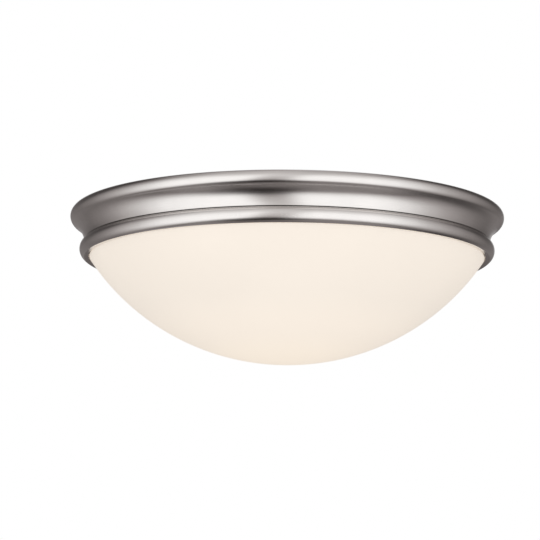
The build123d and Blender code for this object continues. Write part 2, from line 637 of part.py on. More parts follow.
def make_block_screws():
    seat = PLATE_UNDER - BLOCK_SCREW_SEAT
    length = PLATE_TOP + RIVET_HEAD_HEIGHT - seat
    one = screw(BLOCK_SCREW_RADIUS, BLOCK_HEAD_RADIUS, BLOCK_HEAD_HEIGHT, length, TILT_ROUND_SCREW)
    return [Pos(BLOCK_X, y, seat) * one for y in BLOCK_SCREWS]


def make_lead_clips():
    """Saddles that are pushed into the plate, each with two holes for the first lamp's leads."""
    clips = []
    for x in LEAD_CLIPS:
        saddle = Box(LEAD_CLIP_LENGTH, LEAD_CLIP_WIDTH, LEAD_CLIP_HEIGHT, align=HIGH)
        saddle = fillet(saddle.edges().filter_by(Axis.X).group_by(Axis.Z)[0], LEAD_CLIP_ROUND)
        for side in (1, -1):
            hole = Rot(0, 90, 0) * Cylinder(LEAD_RADIUS + 2 * FIT, LEAD_CLIP_LENGTH + 2)
            saddle -= Pos(0, side * LEAD_CLIP_PITCH / 2, -LEAD_CLIP_HEIGHT * LEAD_CLIP_HOLE) * hole
        saddle += rod(LEAD_CLIP_STEM, 0, PAN_WALL + RIVET_HEAD_HEIGHT)
        saddle += rod(LEAD_CLIP_BARB, PAN_WALL, PAN_WALL + RIVET_HEAD_HEIGHT)
        clips.append(Pos(x, CLIP_ROW_Y, PLATE_UNDER) * saddle)
    return clips


def make_earth_screw():
    seat = PLATE_UNDER - RING_THICK
    length = PLATE_TOP + RIVET_HEAD_HEIGHT - seat
    one = screw(EARTH_SCREW_RADIUS, EARTH_HEAD_RADIUS, EARTH_HEAD_HEIGHT, length, TILT_ROUND_SCREW)
    return Pos(EARTH_X, BLOCK_Y, seat) * one


def make_ring_terminal():
    """A flat ring under the earth screw, stepped down to a crimped barrel that holds the lead."""
    low = PLATE_UNDER - RING_THICK
    crimp_radius = LEAD_RADIUS + FIT + RING_THICK
    crimp_x = EARTH_X - RING_RADIUS - RING_NECK - RING_CRIMP_LENGTH / 2
    crimp_z = PLATE_UNDER - SEAT - crimp_radius
    ring = rod(RING_RADIUS, low, PLATE_UNDER, EARTH_X, BLOCK_Y)
    neck_start = crimp_x + RING_CRIMP_LENGTH / 2 - 1
    neck_length = EARTH_X - EARTH_SCREW_RADIUS - neck_start
    neck = Box(neck_length, RING_NECK_WIDTH, RING_THICK, align=(Align.MIN, Align.CENTER, Align.MIN))
    ring += Pos(neck_start, BLOCK_Y, low) * neck
    crimp = Pos(crimp_x, BLOCK_Y, crimp_z) * Rot(0, 90, 0)
    ring += crimp * Cylinder(crimp_radius, RING_CRIMP_LENGTH)
    ring -= crimp * Cylinder(LEAD_RADIUS + FIT, RING_CRIMP_LENGTH + 2)
    ring -= rod(EARTH_SCREW_RADIUS + FIT, low - 1, PLATE_UNDER + 1, EARTH_X, BLOCK_Y)
    return ring, crimp_z


def lead(points, name, held=()):
    """A tube along straight runs joined by tangent arcs, each as large as its two runs allow.

    A held corner is beside a hole, clip or terminal, and its arc stops short of that."""
    corners = [Vector(*point) for point in points]
    radii = []
    for index in range(1, len(corners) - 1):
        before, corner, after = corners[index - 1:index + 2]
        turn = math.radians((corner - before).get_angle(after - corner))
        reach = 0.45 * min((corner - before).length, (after - corner).length)
        if index in held:
            reach = min(reach, HELD_REACH)
        radii.append(reach / math.tan(turn / 2))
    path = FilletPolyline(*corners, radius=radii)
    tube = sweep(Plane(origin=path @ 0, z_dir=path % 0) * Circle(LEAD_RADIUS), path=path)
    true_volume = math.pi * LEAD_RADIUS**2 * path.length
    print(name, "length", round(path.length, 1), "radii", [round(radius, 1) for radius in radii])
    print("  volume over section times length", round(tube.volume / true_volume, 5))
    return tube


def leads_of_first(side, pole):
    """From the first lampholder's back, up and along the clips, into a pole of the terminal block."""
    back_y = LAMP_Y + side * LEAD_HOLE_SPREAD
    row_y = CLIP_ROW_Y + side * LEAD_CLIP_PITCH / 2
    row_z = PLATE_UNDER - LEAD_CLIP_HEIGHT * LEAD_CLIP_HOLE
    far = LEAD_CLIP_X + LEAD_CLIP_LENGTH / 2 + HELD_REACH + 1
    entry = BLOCK_X - BLOCK_DEPTH / 2
    return [
        (BACK_X + 5, back_y, -LAMP_DROP),
        (LEG_X - 11, back_y, -LAMP_DROP),
        (LEG_X - 14, back_y + 10, -LAMP_DROP + 12),
        (LEG_X - 4, row_y - 3, -LAMP_DROP + 26),
        (-66, row_y + 1, row_z - 3),
        (-far, row_y, row_z),
        (far, row_y, row_z),
        (entry - 11, (row_y + pole) / 2 + 3, row_z - 2.5),
        (entry - 3, pole, BARREL_Z),
        (TERMINALS[0] + 1.5, pole, BARREL_Z),
    ]


def leads_of_second(side, pole):
    """From the second lampholder's back, round its bracket, into a pole from the other side."""
    back_y = -LAMP_Y + side * LEAD_HOLE_SPREAD
    reach = 5 * side
    return [
        (-BACK_X - 5, back_y, -LAMP_DROP),
        (-LEG_X + 12 + reach, back_y, -LAMP_DROP),
        (-LEG_X + 17 + reach, back_y + 13, -LAMP_DROP + 9),
        (-LEG_X + 13 + reach, -8, -LAMP_DROP + 23),
        (-LEG_X + reach, (pole - 6) / 2, BARREL_Z),
        (BLOCK_X + BLOCK_DEPTH / 2 + 9 + side, pole, BARREL_Z),
        (TERMINALS[1] - 1.5, pole, BARREL_Z),
    ]


def earth_route(crimp_z):
    crimp_start = EARTH_X - RING_RADIUS - RING_NECK - RING_CRIMP_LENGTH
    edge = BLOCK_X + BLOCK_DEPTH / 2
    return [
        (TERMINALS[1] - 1.5, BLOCK_Y, BARREL_Z),
        (edge + 4, BLOCK_Y, BARREL_Z),
        (crimp_start - 4.5, BLOCK_Y, crimp_z),
        (crimp_start + RING_CRIMP_LENGTH - 0.5, BLOCK_Y, crimp_z),
    ]


def write(name, pieces):
    solids = [solid for piece in pieces for solid in piece.solids()]
    export_step(Compound(children=solids) if len(solids) > 1 else solids[0], f"parts/{name}.step")


def main():
    os.makedirs("parts", exist_ok=True)
    ring_terminal, crimp_z = make_ring_terminal()
    live, earth, neutral = POLES
    write("pan", [make_pan()])
    write("glass_bowl", [make_glass()])
    write("glass_clips", make_glass_clips())
    write("mounting_strap", [make_strap()])
    write("pan_screws", make_pan_screws())
    write("insulation_pad", [make_pad()])
    write("entry_grommet", [make_grommet()])
    write("bracket_rivets", make_bracket_rivets())
    write("terminal_block", [make_terminal_block()])
    write("terminal_barrels", make_terminal_barrels())
    write("terminal_screws", make_terminal_screws())
    write("terminal_block_screws", make_block_screws())
    write("lead_clips", make_lead_clips())
    write("earth_screw", [make_earth_screw()])
    write("earth_ring_terminal", [ring_terminal])
    write("earth_lead", [lead(earth_route(crimp_z), "earth_lead", (1, 2))])
    outer_leads = (leads_of_first(1, neutral), leads_of_second(1, neutral))
    inner_leads = (leads_of_first(-1, live), leads_of_second(-1, live))
    held = ((5, 6), ())
    write("neutral_leads", [lead(route, "neutral_lead", ends) for route, ends in zip(outer_leads, held)])
    write("live_leads", [lead(route, "live_lead", ends) for route, ends in zip(inner_leads, held)])
    pieces = {
        "lampholder_{}_bracket": [make_bracket()],
        "lampholder_{}_body": [make_holder_body()],
        "lampholder_{}_screw_shell": [make_screw_shell()],
        "lampholder_{}_contact": [make_contact_tongue()],
        "lampholder_{}_screws": make_holder_screws(),
        "bulb_{}_contact": [make_cap_contact()],
        "bulb_{}_insulator": [make_cap_insulator()],
        "bulb_{}_screw_base": [make_cap()],
        "bulb_{}_housing": [make_housing()],
        "bulb_{}_led_board": [make_board()],
        "bulb_{}_diffuser": [make_diffuser()],
    }
    for name, shapes in pieces.items():
        write(name.format(1), shapes)
        write(name.format(2), [second(shape) for shape in shapes])


main()
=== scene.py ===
import math

import bmesh
import bpy
from mathutils import Matrix, Vector


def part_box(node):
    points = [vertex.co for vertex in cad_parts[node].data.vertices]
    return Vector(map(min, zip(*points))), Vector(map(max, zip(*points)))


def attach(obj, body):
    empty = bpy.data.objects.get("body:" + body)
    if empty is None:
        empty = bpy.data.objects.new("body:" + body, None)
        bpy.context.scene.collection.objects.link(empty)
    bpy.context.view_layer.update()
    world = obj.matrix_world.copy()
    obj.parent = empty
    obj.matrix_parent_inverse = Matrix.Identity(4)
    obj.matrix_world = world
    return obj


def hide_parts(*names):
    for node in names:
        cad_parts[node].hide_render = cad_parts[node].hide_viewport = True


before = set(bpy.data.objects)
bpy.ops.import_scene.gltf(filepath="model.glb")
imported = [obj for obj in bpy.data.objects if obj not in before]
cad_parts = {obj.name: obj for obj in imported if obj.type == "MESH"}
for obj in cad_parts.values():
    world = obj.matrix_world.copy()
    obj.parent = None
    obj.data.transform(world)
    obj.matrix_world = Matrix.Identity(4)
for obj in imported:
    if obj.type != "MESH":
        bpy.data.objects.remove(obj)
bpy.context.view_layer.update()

bl_info = {
    "name": "Flush Mount Ceiling Light",
    "version": (1, 0, 0),
    "blender": (4, 5, 0),
    "location": "View3D > Sidebar > Ceiling Light",
    "description": "Spun metal pan, opal glass bowl, lamps and wiring of a flush mount ceiling light",
    "category": "Add Mesh",
}

# The light hangs below z = 0, its axis on Z. Metres, as in the frame.
PAN_BODY = "ceiling_pan"
GLASS_BODY = "glass"


def middle(node):
    """The middle of a node's box."""
    low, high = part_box(node)
    return (low + high) / 2


# ---- Settings -------------------------------------------------------------------------------------

def length(name, description, default):
    return bpy.props.FloatProperty(
        name=name, description=description, default=default, min=0.0, unit="LENGTH", precision=5
    )


def degrees(name, description, default):
    return bpy.props.FloatProperty(
        name=name, description=description, default=math.radians(default), unit="ROTATION"
    )


def amount(name, description, default, high=1.0):
    return bpy.props.FloatProperty(name=name, description=description, default=default, min=0.0, max=high)


def colour(name, description, default):
    return bpy.props.FloatVectorProperty(
        name=name, description=description, default=default, size=3, min=0.0, max=1.0, subtype="COLOR"
    )


def count(name, description, default):
    return bpy.props.IntProperty(name=name, description=description, default=default, min=3)


class PanSettings(bpy.types.PropertyGroup):
    """Section of the spun pan"""
    radius: length("Radius", "Widest radius, over the upper band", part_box("pan")[1].x)
    wall: length("Wall", "Thickness of the sheet", 0.001)
    upper_bead: length("Upper Bead", "Radius of the upper band's rounding", 0.006)
    upper_turn: degrees("Upper Turn", "Where the upper band runs on into the cove, below level", 58.3)
    lower_radius: length("Lower Band", "Widest radius of the lower band", 0.16725)
    lower_bead: length("Lower Bead", "Radius of the lower band's rounding", 0.0071)
    lower_drop: length("Lower Drop", "Middle of the lower band below the ceiling", 0.03245)
    fold_turn: degrees("Fold", "Where the cove folds into the lower band, above level", 60.5)
    lip_turn: degrees("Lip Turn", "Where the lower band ends, below level", 64)
    lip_slope: degrees("Lip Slope", "Rise of the lip towards the glass", 11)
    lip_radius: length("Lip Radius", "Inner edge of the lip", 0.1599)
    recess_radius: length("Recess Radius", "Radius of the pressed middle", 0.112)
    recess_depth: length("Recess Depth", "Depth of the pressed middle", 0.014)
    recess_draft: length("Recess Draft", "Run of the recess's sloping wall", 0.006)
    press_bend: length("Press Bend", "Bend radius of the pressing", 0.003)
    groove_height: length("Groove Height", "Rolled groove where the cove folds", 0.0005)
    groove_depth: length("Groove Depth", "How far the rolled groove goes in", 0.0007)
    seam_radius: length("Plate Radius", "Radius of the flat plate that carries the holes", 0.107)
    segments: count("Segments", "Facets round the axis", 320)


class GlassSettings(bpy.types.PropertyGroup):
    """Section of the glass bowl"""
    shoulder: length("Shoulder", "Widest radius", 0.1588)
    wall: length("Wall", "Thickness of the glass", 0.004)
    depth: length("Depth", "Ceiling to the lowest point", -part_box("glass_bowl")[0].z)
    half_height: length("Half Height", "Upright half axis of the bowl's ellipse", 0.187)
    shoulder_drop: length("Shoulder Drop", "Where the curve reaches the shoulder", 0.039)
    shoulder_round: length("Shoulder Round", "Rounding over the shoulder", 0.0026)
    collar_step: length("Collar Step", "Shoulder in to the collar", 0.00335)
    rim_bead: length("Rim Bead", "Radius of the bead round the rim", 0.0025)
    rim_bead_out: length("Rim Bead Out", "Bead centre outside the collar", 0.0002)
    rim_drop: length("Rim Drop", "Bead centre below the ceiling", 0.0245)
    segments: count("Segments", "Facets round the axis", 288)


class FinishSettings(bpy.types.PropertyGroup):
    """Colours of the finishes"""
    nickel: colour("Satin Nickel", "Plating of the pan", (0.85, 0.82, 0.80))
    nickel_grain: amount("Nickel Grain", "Strength of the brushed grain", 0.5)
    # painted shade in the nickel's colour, in the groove at the fold and on the lower band just under it
    groove_shade: amount("Groove Shade", "Brightness left in the groove where the cove folds", 0.62)
    fold_shade: amount("Fold Shade", "Brightness left on the lower band, just under the fold", 0.7)
    opal: colour("Opal Glass", "White of the glass", (0.935, 0.868, 0.79))
    # the bowl's glow is emission painted on the glass in place of the lamps' light from inside
    glow: amount("Glow", "Light given off by the lit bowl", 0.46, 4.0)
    wool: colour("Mineral Wool", "Insulation pad", (0.80, 0.74, 0.58))
    zinc: colour("Zinc Plate", "Strap, brackets and screws", (0.70, 0.72, 0.74))
    brass: colour("Brass", "Contacts and terminal barrels", (0.78, 0.56, 0.27))


class StudioSettings(bpy.types.PropertyGroup):
    """Camera and lights"""
    distance: length("Camera Distance", "Camera to the middle of the ceiling plate", 2.1)
    below: degrees("Camera Below", "Camera's angle below level", 11.067)
    aim_down: degrees("Aim Down", "Middle of the picture below the plate's middle", 1.2573)
    aim_left: degrees("Aim Left", "Middle of the picture left of the plate's middle", 0.3713)
    roll: degrees("Roll", "Camera turned about its view", 0.34)
    lens: bpy.props.FloatProperty(name="Lens", description="Focal length in mm", default=172.8)
    floor_drop: length("Floor Drop", "Ceiling to the floor", 3.2)
    fill: amount("Fill", "Even light from all round", 0.57, 4.0)
    softbox: amount("Softboxes", "Power of each front softbox in watts", 9.0, 500.0)


GROUPS = {
    "ceiling_light_pan": PanSettings,
    "ceiling_light_glass": GlassSettings,
    "ceiling_light_finish": FinishSettings,
    "ceiling_light_studio": StudioSettings,
}


# ---- Node trees -----------------------------------------------------------------------------------

class Sheet:
    """Adds nodes to a tree. An input given as a socket is linked, and any other value is set."""

    def __init__(self, tree):
        self.tree = tree

    def add(self, kind, inputs=None, **settings):
        node = self.tree.nodes.new(kind)
        for name, value in settings.items():
            setattr(node, name, value)
        for key, value in (inputs or {}).items():
            if isinstance(value, bpy.types.NodeSocket):
                self.tree.links.new(value, node.inputs[key])
            else:
                node.inputs[key].default_value = value
        return node

    def math(self, operation, a, b=0.0, c=0.0, clamp=False):
        kind = "ShaderNodeMath"
        return self.add(kind, {0: a, 1: b, 2: c}, operation=operation, use_clamp=clamp).outputs[0]

    def vector(self, operation, a, b=(0, 0, 0)):
        return self.add("ShaderNodeVectorMath", {0: a, 1: b}, operation=operation).outputs[0]

    def combine(self, x=0.0, y=0.0, z=0.0):
        return self.add("ShaderNodeCombineXYZ", {"X": x, "Y": y, "Z": z}).outputs[0]

    def spread(self, value, low, high, to_low=0.0, to_high=1.0, smooth=False):
        kind = "SMOOTHSTEP" if smooth else "LINEAR"
        places = {"Value": value, "From Min": low, "From Max": high, "To Min": to_low, "To Max": to_high}
        return self.add("ShaderNodeMapRange", places, interpolation_type=kind).outputs[0]

    def ramp(self, value, stops, interpolation="EASE"):
        node = self.add("ShaderNodeValToRGB", {"Fac": value})
        node.color_ramp.interpolation = interpolation
        places = node.color_ramp.elements
        while len(places) < len(stops):
            places.new(0.5)
        for place, (position, shade) in zip(places, stops):
            place.position = position
            place.color = (*shade, 1) if isinstance(shade, tuple) else (shade, shade, shade, 1)
        return node.outputs["Color"]

    def mix(self, factor, a, b, blend="MIX"):
        node = self.add("ShaderNodeMix", data_type="RGBA", blend_type=blend)
        for socket, value in ((node.inputs[0], factor), (node.inputs[6], a), (node.inputs[7], b)):
            if isinstance(value, bpy.types.NodeSocket):
                self.tree.links.new(value, socket)
            else:
                socket.default_value = (*value, 1) if isinstance(value, tuple) and len(value) == 3 else value
        return node.outputs[2]


def geometry_tree(name, inputs):
    """A Geometry Nodes tree with named inputs. Returns its sheet, its input node and its end."""
    tree = bpy.data.node_groups.new(name, "GeometryNodeTree")
    tree.interface.new_socket("Geometry", in_out="INPUT", socket_type="NodeSocketGeometry")
    tree.interface.new_socket("Geometry", in_out="OUTPUT", socket_type="NodeSocketGeometry")
    for label, kind, default in inputs:
        socket = tree.interface.new_socket(label, in_out="INPUT", socket_type=f"NodeSocket{kind}")
        if default is not None:
            socket.default_value = default
    sheet = Sheet(tree)
    start = sheet.add("NodeGroupInput").outputs

    def finish(geometry):
        real = sheet.add("GeometryNodeRealizeInstances", {"Geometry": geometry}).outputs[0]
        painted = sheet.add("GeometryNodeSetMaterial", {"Geometry": real, "Material": start["Material"]})
        sheet.add("NodeGroupOutput", {"Geometry": painted.outputs[0]})
        return tree

    return sheet, start, finish


def turned_tree():
    """An outline's points, in (radius, 0, height), turned about Z into a closed skin."""
    name = "Turned Skin"
    if name in bpy.data.node_groups:
        return bpy.data.node_groups[name]
    inputs = [("Segments", "Int", 64), ("Crease Angle", "Float", 0.5), ("Material", "Material", None)]
    sheet, start, finish = geometry_tree(name, inputs)
    outline = start["Geometry"]
    size = sheet.add("GeometryNodeAttributeDomainSize", {"Geometry": outline}).outputs["Point Count"]
    columns = sheet.math("ADD", start["Segments"], 1.0)
    grid = sheet.add("GeometryNodeMeshGrid", {"Vertices X": columns, "Vertices Y": size}).outputs["Mesh"]
    index = sheet.add("GeometryNodeInputIndex").outputs[0]
    column = sheet.math("FLOOR", sheet.math("DIVIDE", sheet.math("ADD", index, 0.5), size))
    row = sheet.math("SUBTRACT", index, sheet.math("MULTIPLY", column, size))
    turn = sheet.math("DIVIDE", sheet.math("MULTIPLY", column, math.tau), start["Segments"])
    place = sheet.add(
        "GeometryNodeSampleIndex",
        {"Geometry": outline, "Value": sheet.add("GeometryNodeInputPosition").outputs[0], "Index": row},
        data_type="FLOAT_VECTOR",
        domain="POINT",
    ).outputs[0]
    parts = sheet.add("ShaderNodeSeparateXYZ", {0: place}).outputs
    x = sheet.math("MULTIPLY", parts["X"], sheet.math("COSINE", turn))
    y = sheet.math("MULTIPLY", parts["X"], sheet.math("SINE", turn))
    placed = sheet.add("GeometryNodeSetPosition", {"Geometry": grid, "Position": sheet.combine(x, y, parts["Z"])})
    joined = sheet.add("GeometryNodeMergeByDistance", {"Geometry": placed.outputs[0], "Distance": 2e-6})
    smooth = sheet.add("GeometryNodeSetShadeSmooth", {"Geometry": joined.outputs[0]})
    angle = sheet.add("GeometryNodeInputMeshEdgeAngle").outputs["Unsigned Angle"]
    crease = sheet.add("FunctionNodeCompare", {0: angle, 1: start["Crease Angle"]}, operation="LESS_THAN")
    edged = sheet.add(
        "GeometryNodeSetShadeSmooth",
        {"Geometry": smooth.outputs[0], "Shade Smooth": crease.outputs[0]},
        domain="EDGE",
    )
    return finish(edged.outputs[0])


def repeated_tree():
    """A made part set at each point, turned by the point's own angles, less a driver slot."""
    name = "Repeated Part"
    if name in bpy.data.node_groups:
        return bpy.data.node_groups[name]
    inputs = [
        ("Part", "Object", None),
        ("Slot Width", "Float", 0.0),
        ("Slot Length", "Float", 0.02),
        ("Slot Depth", "Float", 0.001),
        ("Slot Height", "Float", 0.0),
        ("Material", "Material", None),
    ]
    sheet, start, finish = geometry_tree(name, inputs)
    part = sheet.add("GeometryNodeObjectInfo", {"Object": start["Part"]}).outputs["Geometry"]
    size = sheet.combine(start["Slot Length"], start["Slot Width"], sheet.math("MULTIPLY", start["Slot Depth"], 2.0))
    cutter = sheet.add("GeometryNodeMeshCube", {"Size": size}).outputs["Mesh"]
    raised = sheet.add(
        "GeometryNodeTransform", {"Geometry": cutter, "Translation": sheet.combine(0.0, 0.0, start["Slot Height"])}
    )
    cut = sheet.add("GeometryNodeMeshBoolean", {"Mesh 1": part, "Mesh 2": raised.outputs[0]}, operation="DIFFERENCE")
    wanted = sheet.math("GREATER_THAN", start["Slot Width"], 0.0)
    chosen = sheet.add(
        "GeometryNodeSwitch", {"Switch": wanted, "False": part, "True": cut.outputs[0]}, input_type="GEOMETRY"
    )
    turn = sheet.add("GeometryNodeInputNamedAttribute", {"Name": "turn"}, data_type="FLOAT_VECTOR").outputs[0]
    angles = sheet.add("FunctionNodeEulerToRotation", {0: turn}).outputs[0]
    spots = sheet.add(
        "GeometryNodeInstanceOnPoints",
        {"Points": start["Geometry"], "Instance": chosen.outputs[0], "Rotation": angles},
    )
    return finish(spots.outputs[0])


def fibre_tree():
    """Fine fibres strewn over a face, each a short bent three-sided thread."""
    name = "Strewn Fibres"
    if name in bpy.data.node_groups:
        return bpy.data.node_groups[name]
    inputs = [
        ("Density", "Float", 40000.0),
        ("Fibre Length", "Float", 0.012),
        ("Fibre Radius", "Float", 0.00006),
        ("Bend", "Float", 0.0025),
        ("Seed", "Int", 7),
        ("Material", "Material", None),
    ]
    sheet, start, finish = geometry_tree(name, inputs)
    spots = sheet.add(
        "GeometryNodeDistributePointsOnFaces",
        {"Mesh": start["Geometry"], "Density": start["Density"], "Seed": start["Seed"]},
    )
    half = sheet.math("MULTIPLY", start["Fibre Length"], 0.5)
    left = sheet.combine(sheet.math("MULTIPLY", half, -1.0), 0.0, 0.0)
    right = sheet.combine(half, 0.0, 0.0)
    middle_point = sheet.combine(0.0, start["Bend"], 0.0)
    thread = sheet.add(
        "GeometryNodeCurveQuadraticBezier",
        {"Resolution": 4, "Start": left, "Middle": middle_point, "End": right},
    )
    ring = sheet.add("GeometryNodeCurvePrimitiveCircle", {"Resolution": 3, "Radius": start["Fibre Radius"]})
    tube = sheet.add(
        "GeometryNodeCurveToMesh", {"Curve": thread.outputs[0], "Profile Curve": ring.outputs[0], "Fill Caps": True}
    )
    spin = sheet.add(
        "FunctionNodeRandomValue",
        {"Min": (-0.06, -0.06, 0.0), "Max": (0.06, 0.06, math.tau), "Seed": start["Seed"]},
        data_type="FLOAT_VECTOR",
    )
    laid = sheet.add(
        "GeometryNodeInstanceOnPoints",
        {
            "Points": spots.outputs["Points"],
            "Instance": tube.outputs[0],
            "Rotation": sheet.add("FunctionNodeEulerToRotation", {0: spin.outputs[0]}).outputs[0],
        },
    )
    return finish(laid.outputs[0])


def run_tree(host, tree, values, name):
    """Gives the host the tree with its inputs set, and returns the result as a plain mesh object."""
    modifier = host.modifiers.new(tree.name, "NODES")
    modifier.node_group = tree
    for item in tree.interface.items_tree:
        if item.item_type == "SOCKET" and item.in_out == "INPUT" and item.name in values:
            modifier[item.identifier] = values[item.name]
    bpy.context.view_layer.update()
    graph = bpy.context.evaluated_depsgraph_get()
    mesh = bpy.data.meshes.new_from_object(host.evaluated_get(graph), depsgraph=graph)
    mesh.name = name
    host.modifiers.remove(modifier)
    bpy.data.objects.remove(host)
    return add_object(name, mesh)


def add_object(name, mesh):
    piece = bpy.data.objects.new(name, mesh)
    bpy.context.scene.collection.objects.link(piece)
    return piece


def outline_object(points, name="outline"):
    """An object that holds an outline's points, for a tree to read."""
    mesh = bpy.data.meshes.new(name)
    mesh.from_pydata([(r, 0, z) for r, z in points], [(i, i + 1) for i in range(len(points) - 1)], [])
    return add_object(name, mesh)


def places_object(places, name="places"):
    """An object that holds points, each with its own turn in degrees."""
    mesh = bpy.data.meshes.new(name)
    mesh.from_pydata([place for place, _ in places], [], [])
    turns = mesh.attributes.new("turn", "FLOAT_VECTOR", "POINT")
    for entry, (_, turn) in zip(turns.data, places):
        entry.vector = [math.radians(angle) for angle in turn]
    return add_object(name, mesh)


def turned(points, segments, finish, name, crease=30):
    values = {"Segments": segments, "Crease Angle": math.radians(crease), "Material": finish}
    return run_tree(outline_object(points), turned_tree(), values, name)


def repeated(outline, segments, places, finish, name, slot=None):
    """A turned part at each place. The slot is (width, length, depth, height)."""
    part = turned(outline, segments, finish, name + "_one")
    values = {"Part": part, "Material": finish}
    if slot:
        values.update(zip(("Slot Width", "Slot Length", "Slot Depth", "Slot Height"), slot))
    piece = run_tree(places_object(places), repeated_tree(), values, name)
    bpy.data.objects.remove(part)
    shade_by_angle(piece)
    return piece


def shade_by_angle(piece, angle=30):
    """Smooth shading, with sharp edges where the faces turn by more than an angle."""
    skin = bmesh.new()
    skin.from_mesh(piece.data)
    for face in skin.faces:
        face.smooth = True
    for edge in skin.edges:
        edge.smooth = edge.is_manifold and edge.calc_face_angle(0) < math.radians(angle)
    skin.to_mesh(piece.data)
    skin.free()


# ---- Outlines -------------------------------------------------------------------------------------

def arc(centre, radius, start, end, steps):
    """Points of an arc and their outward normals, between two angles in radians."""
    turns = [start + (end - start) * step / steps for step in range(steps + 1)]
    side = 1 if end > start else -1
    return [
        (
            (centre[0] + radius * math.cos(turn), centre[1] + radius * math.sin(turn)),
            (-side * math.cos(turn), -side * math.sin(turn)),
        )
        for turn in turns
    ]


def straight(start, end, steps=1):
    """Points of a straight run and their normals, to the left of the way it goes."""
    run = Vector(end) - Vector(start)
    normal = (-run.y / run.length, run.x / run.length)
    return [(tuple(Vector(start) + run * step / steps), normal) for step in range(steps + 1)]


def bend(corner, before, after, radius, steps=8):
    """The arc that rounds a corner between two straight runs."""
    corner, into, out = Vector(corner), Vector(corner) - Vector(before), Vector(after) - Vector(corner)
    into.normalize()
    out.normalize()
    turn = into.angle_signed(out)
    side = -1 if turn > 0 else 1
    reach = radius * math.tan(abs(turn) / 2)
    start = corner - into * reach
    centre = start + Vector((-into.y, into.x)) * radius * side
    first = math.atan2(start.y - centre.y, start.x - centre.x)
    return arc(centre, radius, first, first + side * abs(turn), steps)


def rounded(points, radius, steps=8):
    """Points and normals of a bent line through corners."""
    path = []
    last = Vector(points[0])
    for before, corner, after in zip(points, points[1:], points[2:]):
        curve = bend(corner, before, after, radius, steps)
        path += straight(last, curve[0][0])[:1] + curve
        last = Vector(curve[-1][0])
    return path + straight(last, points[-1])[1:]


def under_side(path, wall):
    """The path moved by the wall away from its normals, with its own crossings left out."""
    moved = []
    for index, (point, normal) in enumerate(path):
        here = Vector(normal)
        if index and (Vector(path[index - 1][0]) - Vector(point)).length < 1e-7:
            before = Vector(path[index - 1][1])
            turn = before.angle_signed(here)
            if turn < 0:
                steps = max(2, int(abs(turn) / 0.15))
                for step in range(1, steps):
                    between = before.copy()
                    between.rotate(Matrix.Rotation(-turn * step / steps, 2))
                    moved.append(Vector(point) - between * wall)
        moved.append(Vector(point) - here * wall)
    corners = [Vector(point) for point, _ in path]
    kept = []
    for place in moved:
        nearest = min(
            (place - (start + (end - start) * max(0, min(1, (place - start).dot(end - start) / (end - start).length_squared)))).length
            for start, end in zip(corners, corners[1:])
            if (end - start).length > 1e-7
        )
        if nearest > wall * 0.985:
            kept.append(tuple(place))
    return kept


def without_doubles(points):
    kept = [points[0]]
    for point in points[1:]:
        if (Vector(point) - Vector(kept[-1])).length > 4e-6:
            kept.append(point)
    return kept


# ---- Finishes -------------------------------------------------------------------------------------

def finish_sheet(name):
    """A new material, its sheet, its shader and its Object coordinates."""
    material = bpy.data.materials.new(name)
    material.use_nodes = True
    sheet = Sheet(material.node_tree)
    shader = material.node_tree.nodes["Principled BSDF"]
    place = sheet.add("ShaderNodeTexCoord").outputs["Object"]
    return material, sheet, shader, place


def noise(sheet, place, scale, detail=3.0, roughness=0.55, dimensions="3D", w=0.0):
    inputs = {"Vector": place, "Scale": scale, "Detail": detail, "Roughness": roughness}
    if dimensions == "4D":
        inputs["W"] = w
    return sheet.add("ShaderNodeTexNoise", inputs, noise_dimensions=dimensions).outputs["Fac"]


def link(sheet, output, shader, socket):
    sheet.tree.links.new(output, shader.inputs[socket])


def raise_surface(sheet, shader, height, distance, strength=1.0):
    relief = sheet.add("ShaderNodeBump", {"Height": height, "Distance": distance, "Strength": strength})
    link(sheet, relief.outputs[0], shader, "Normal")


def set_shader(shader, **values):
    for name, value in values.items():
        shader.inputs[name.replace("_", " ").title().replace("Ior", "IOR")].default_value = value


def shade(base, factor):
    return tuple(min(1.0, part * factor) for part in base)


def round_the_axis(sheet, place, along, across):
    """Coordinates that run round Z, stretched along the turn, and the radius for a fourth one."""
    parts = sheet.add("ShaderNodeSeparateXYZ", {0: place}).outputs
    radius = sheet.math(
        "SQRT", sheet.math("ADD", sheet.math("POWER", parts["X"], 2.0), sheet.math("POWER", parts["Y"], 2.0))
    )
    safe = sheet.math("MAXIMUM", radius, 1e-5)
    x = sheet.math("MULTIPLY", sheet.math("DIVIDE", parts["X"], safe), along)
    y = sheet.math("MULTIPLY", sheet.math("DIVIDE", parts["Y"], safe), along)
    z = sheet.math("MULTIPLY", parts["Z"], across)
    return sheet.combine(x, y, z), sheet.math("MULTIPLY", radius, across)


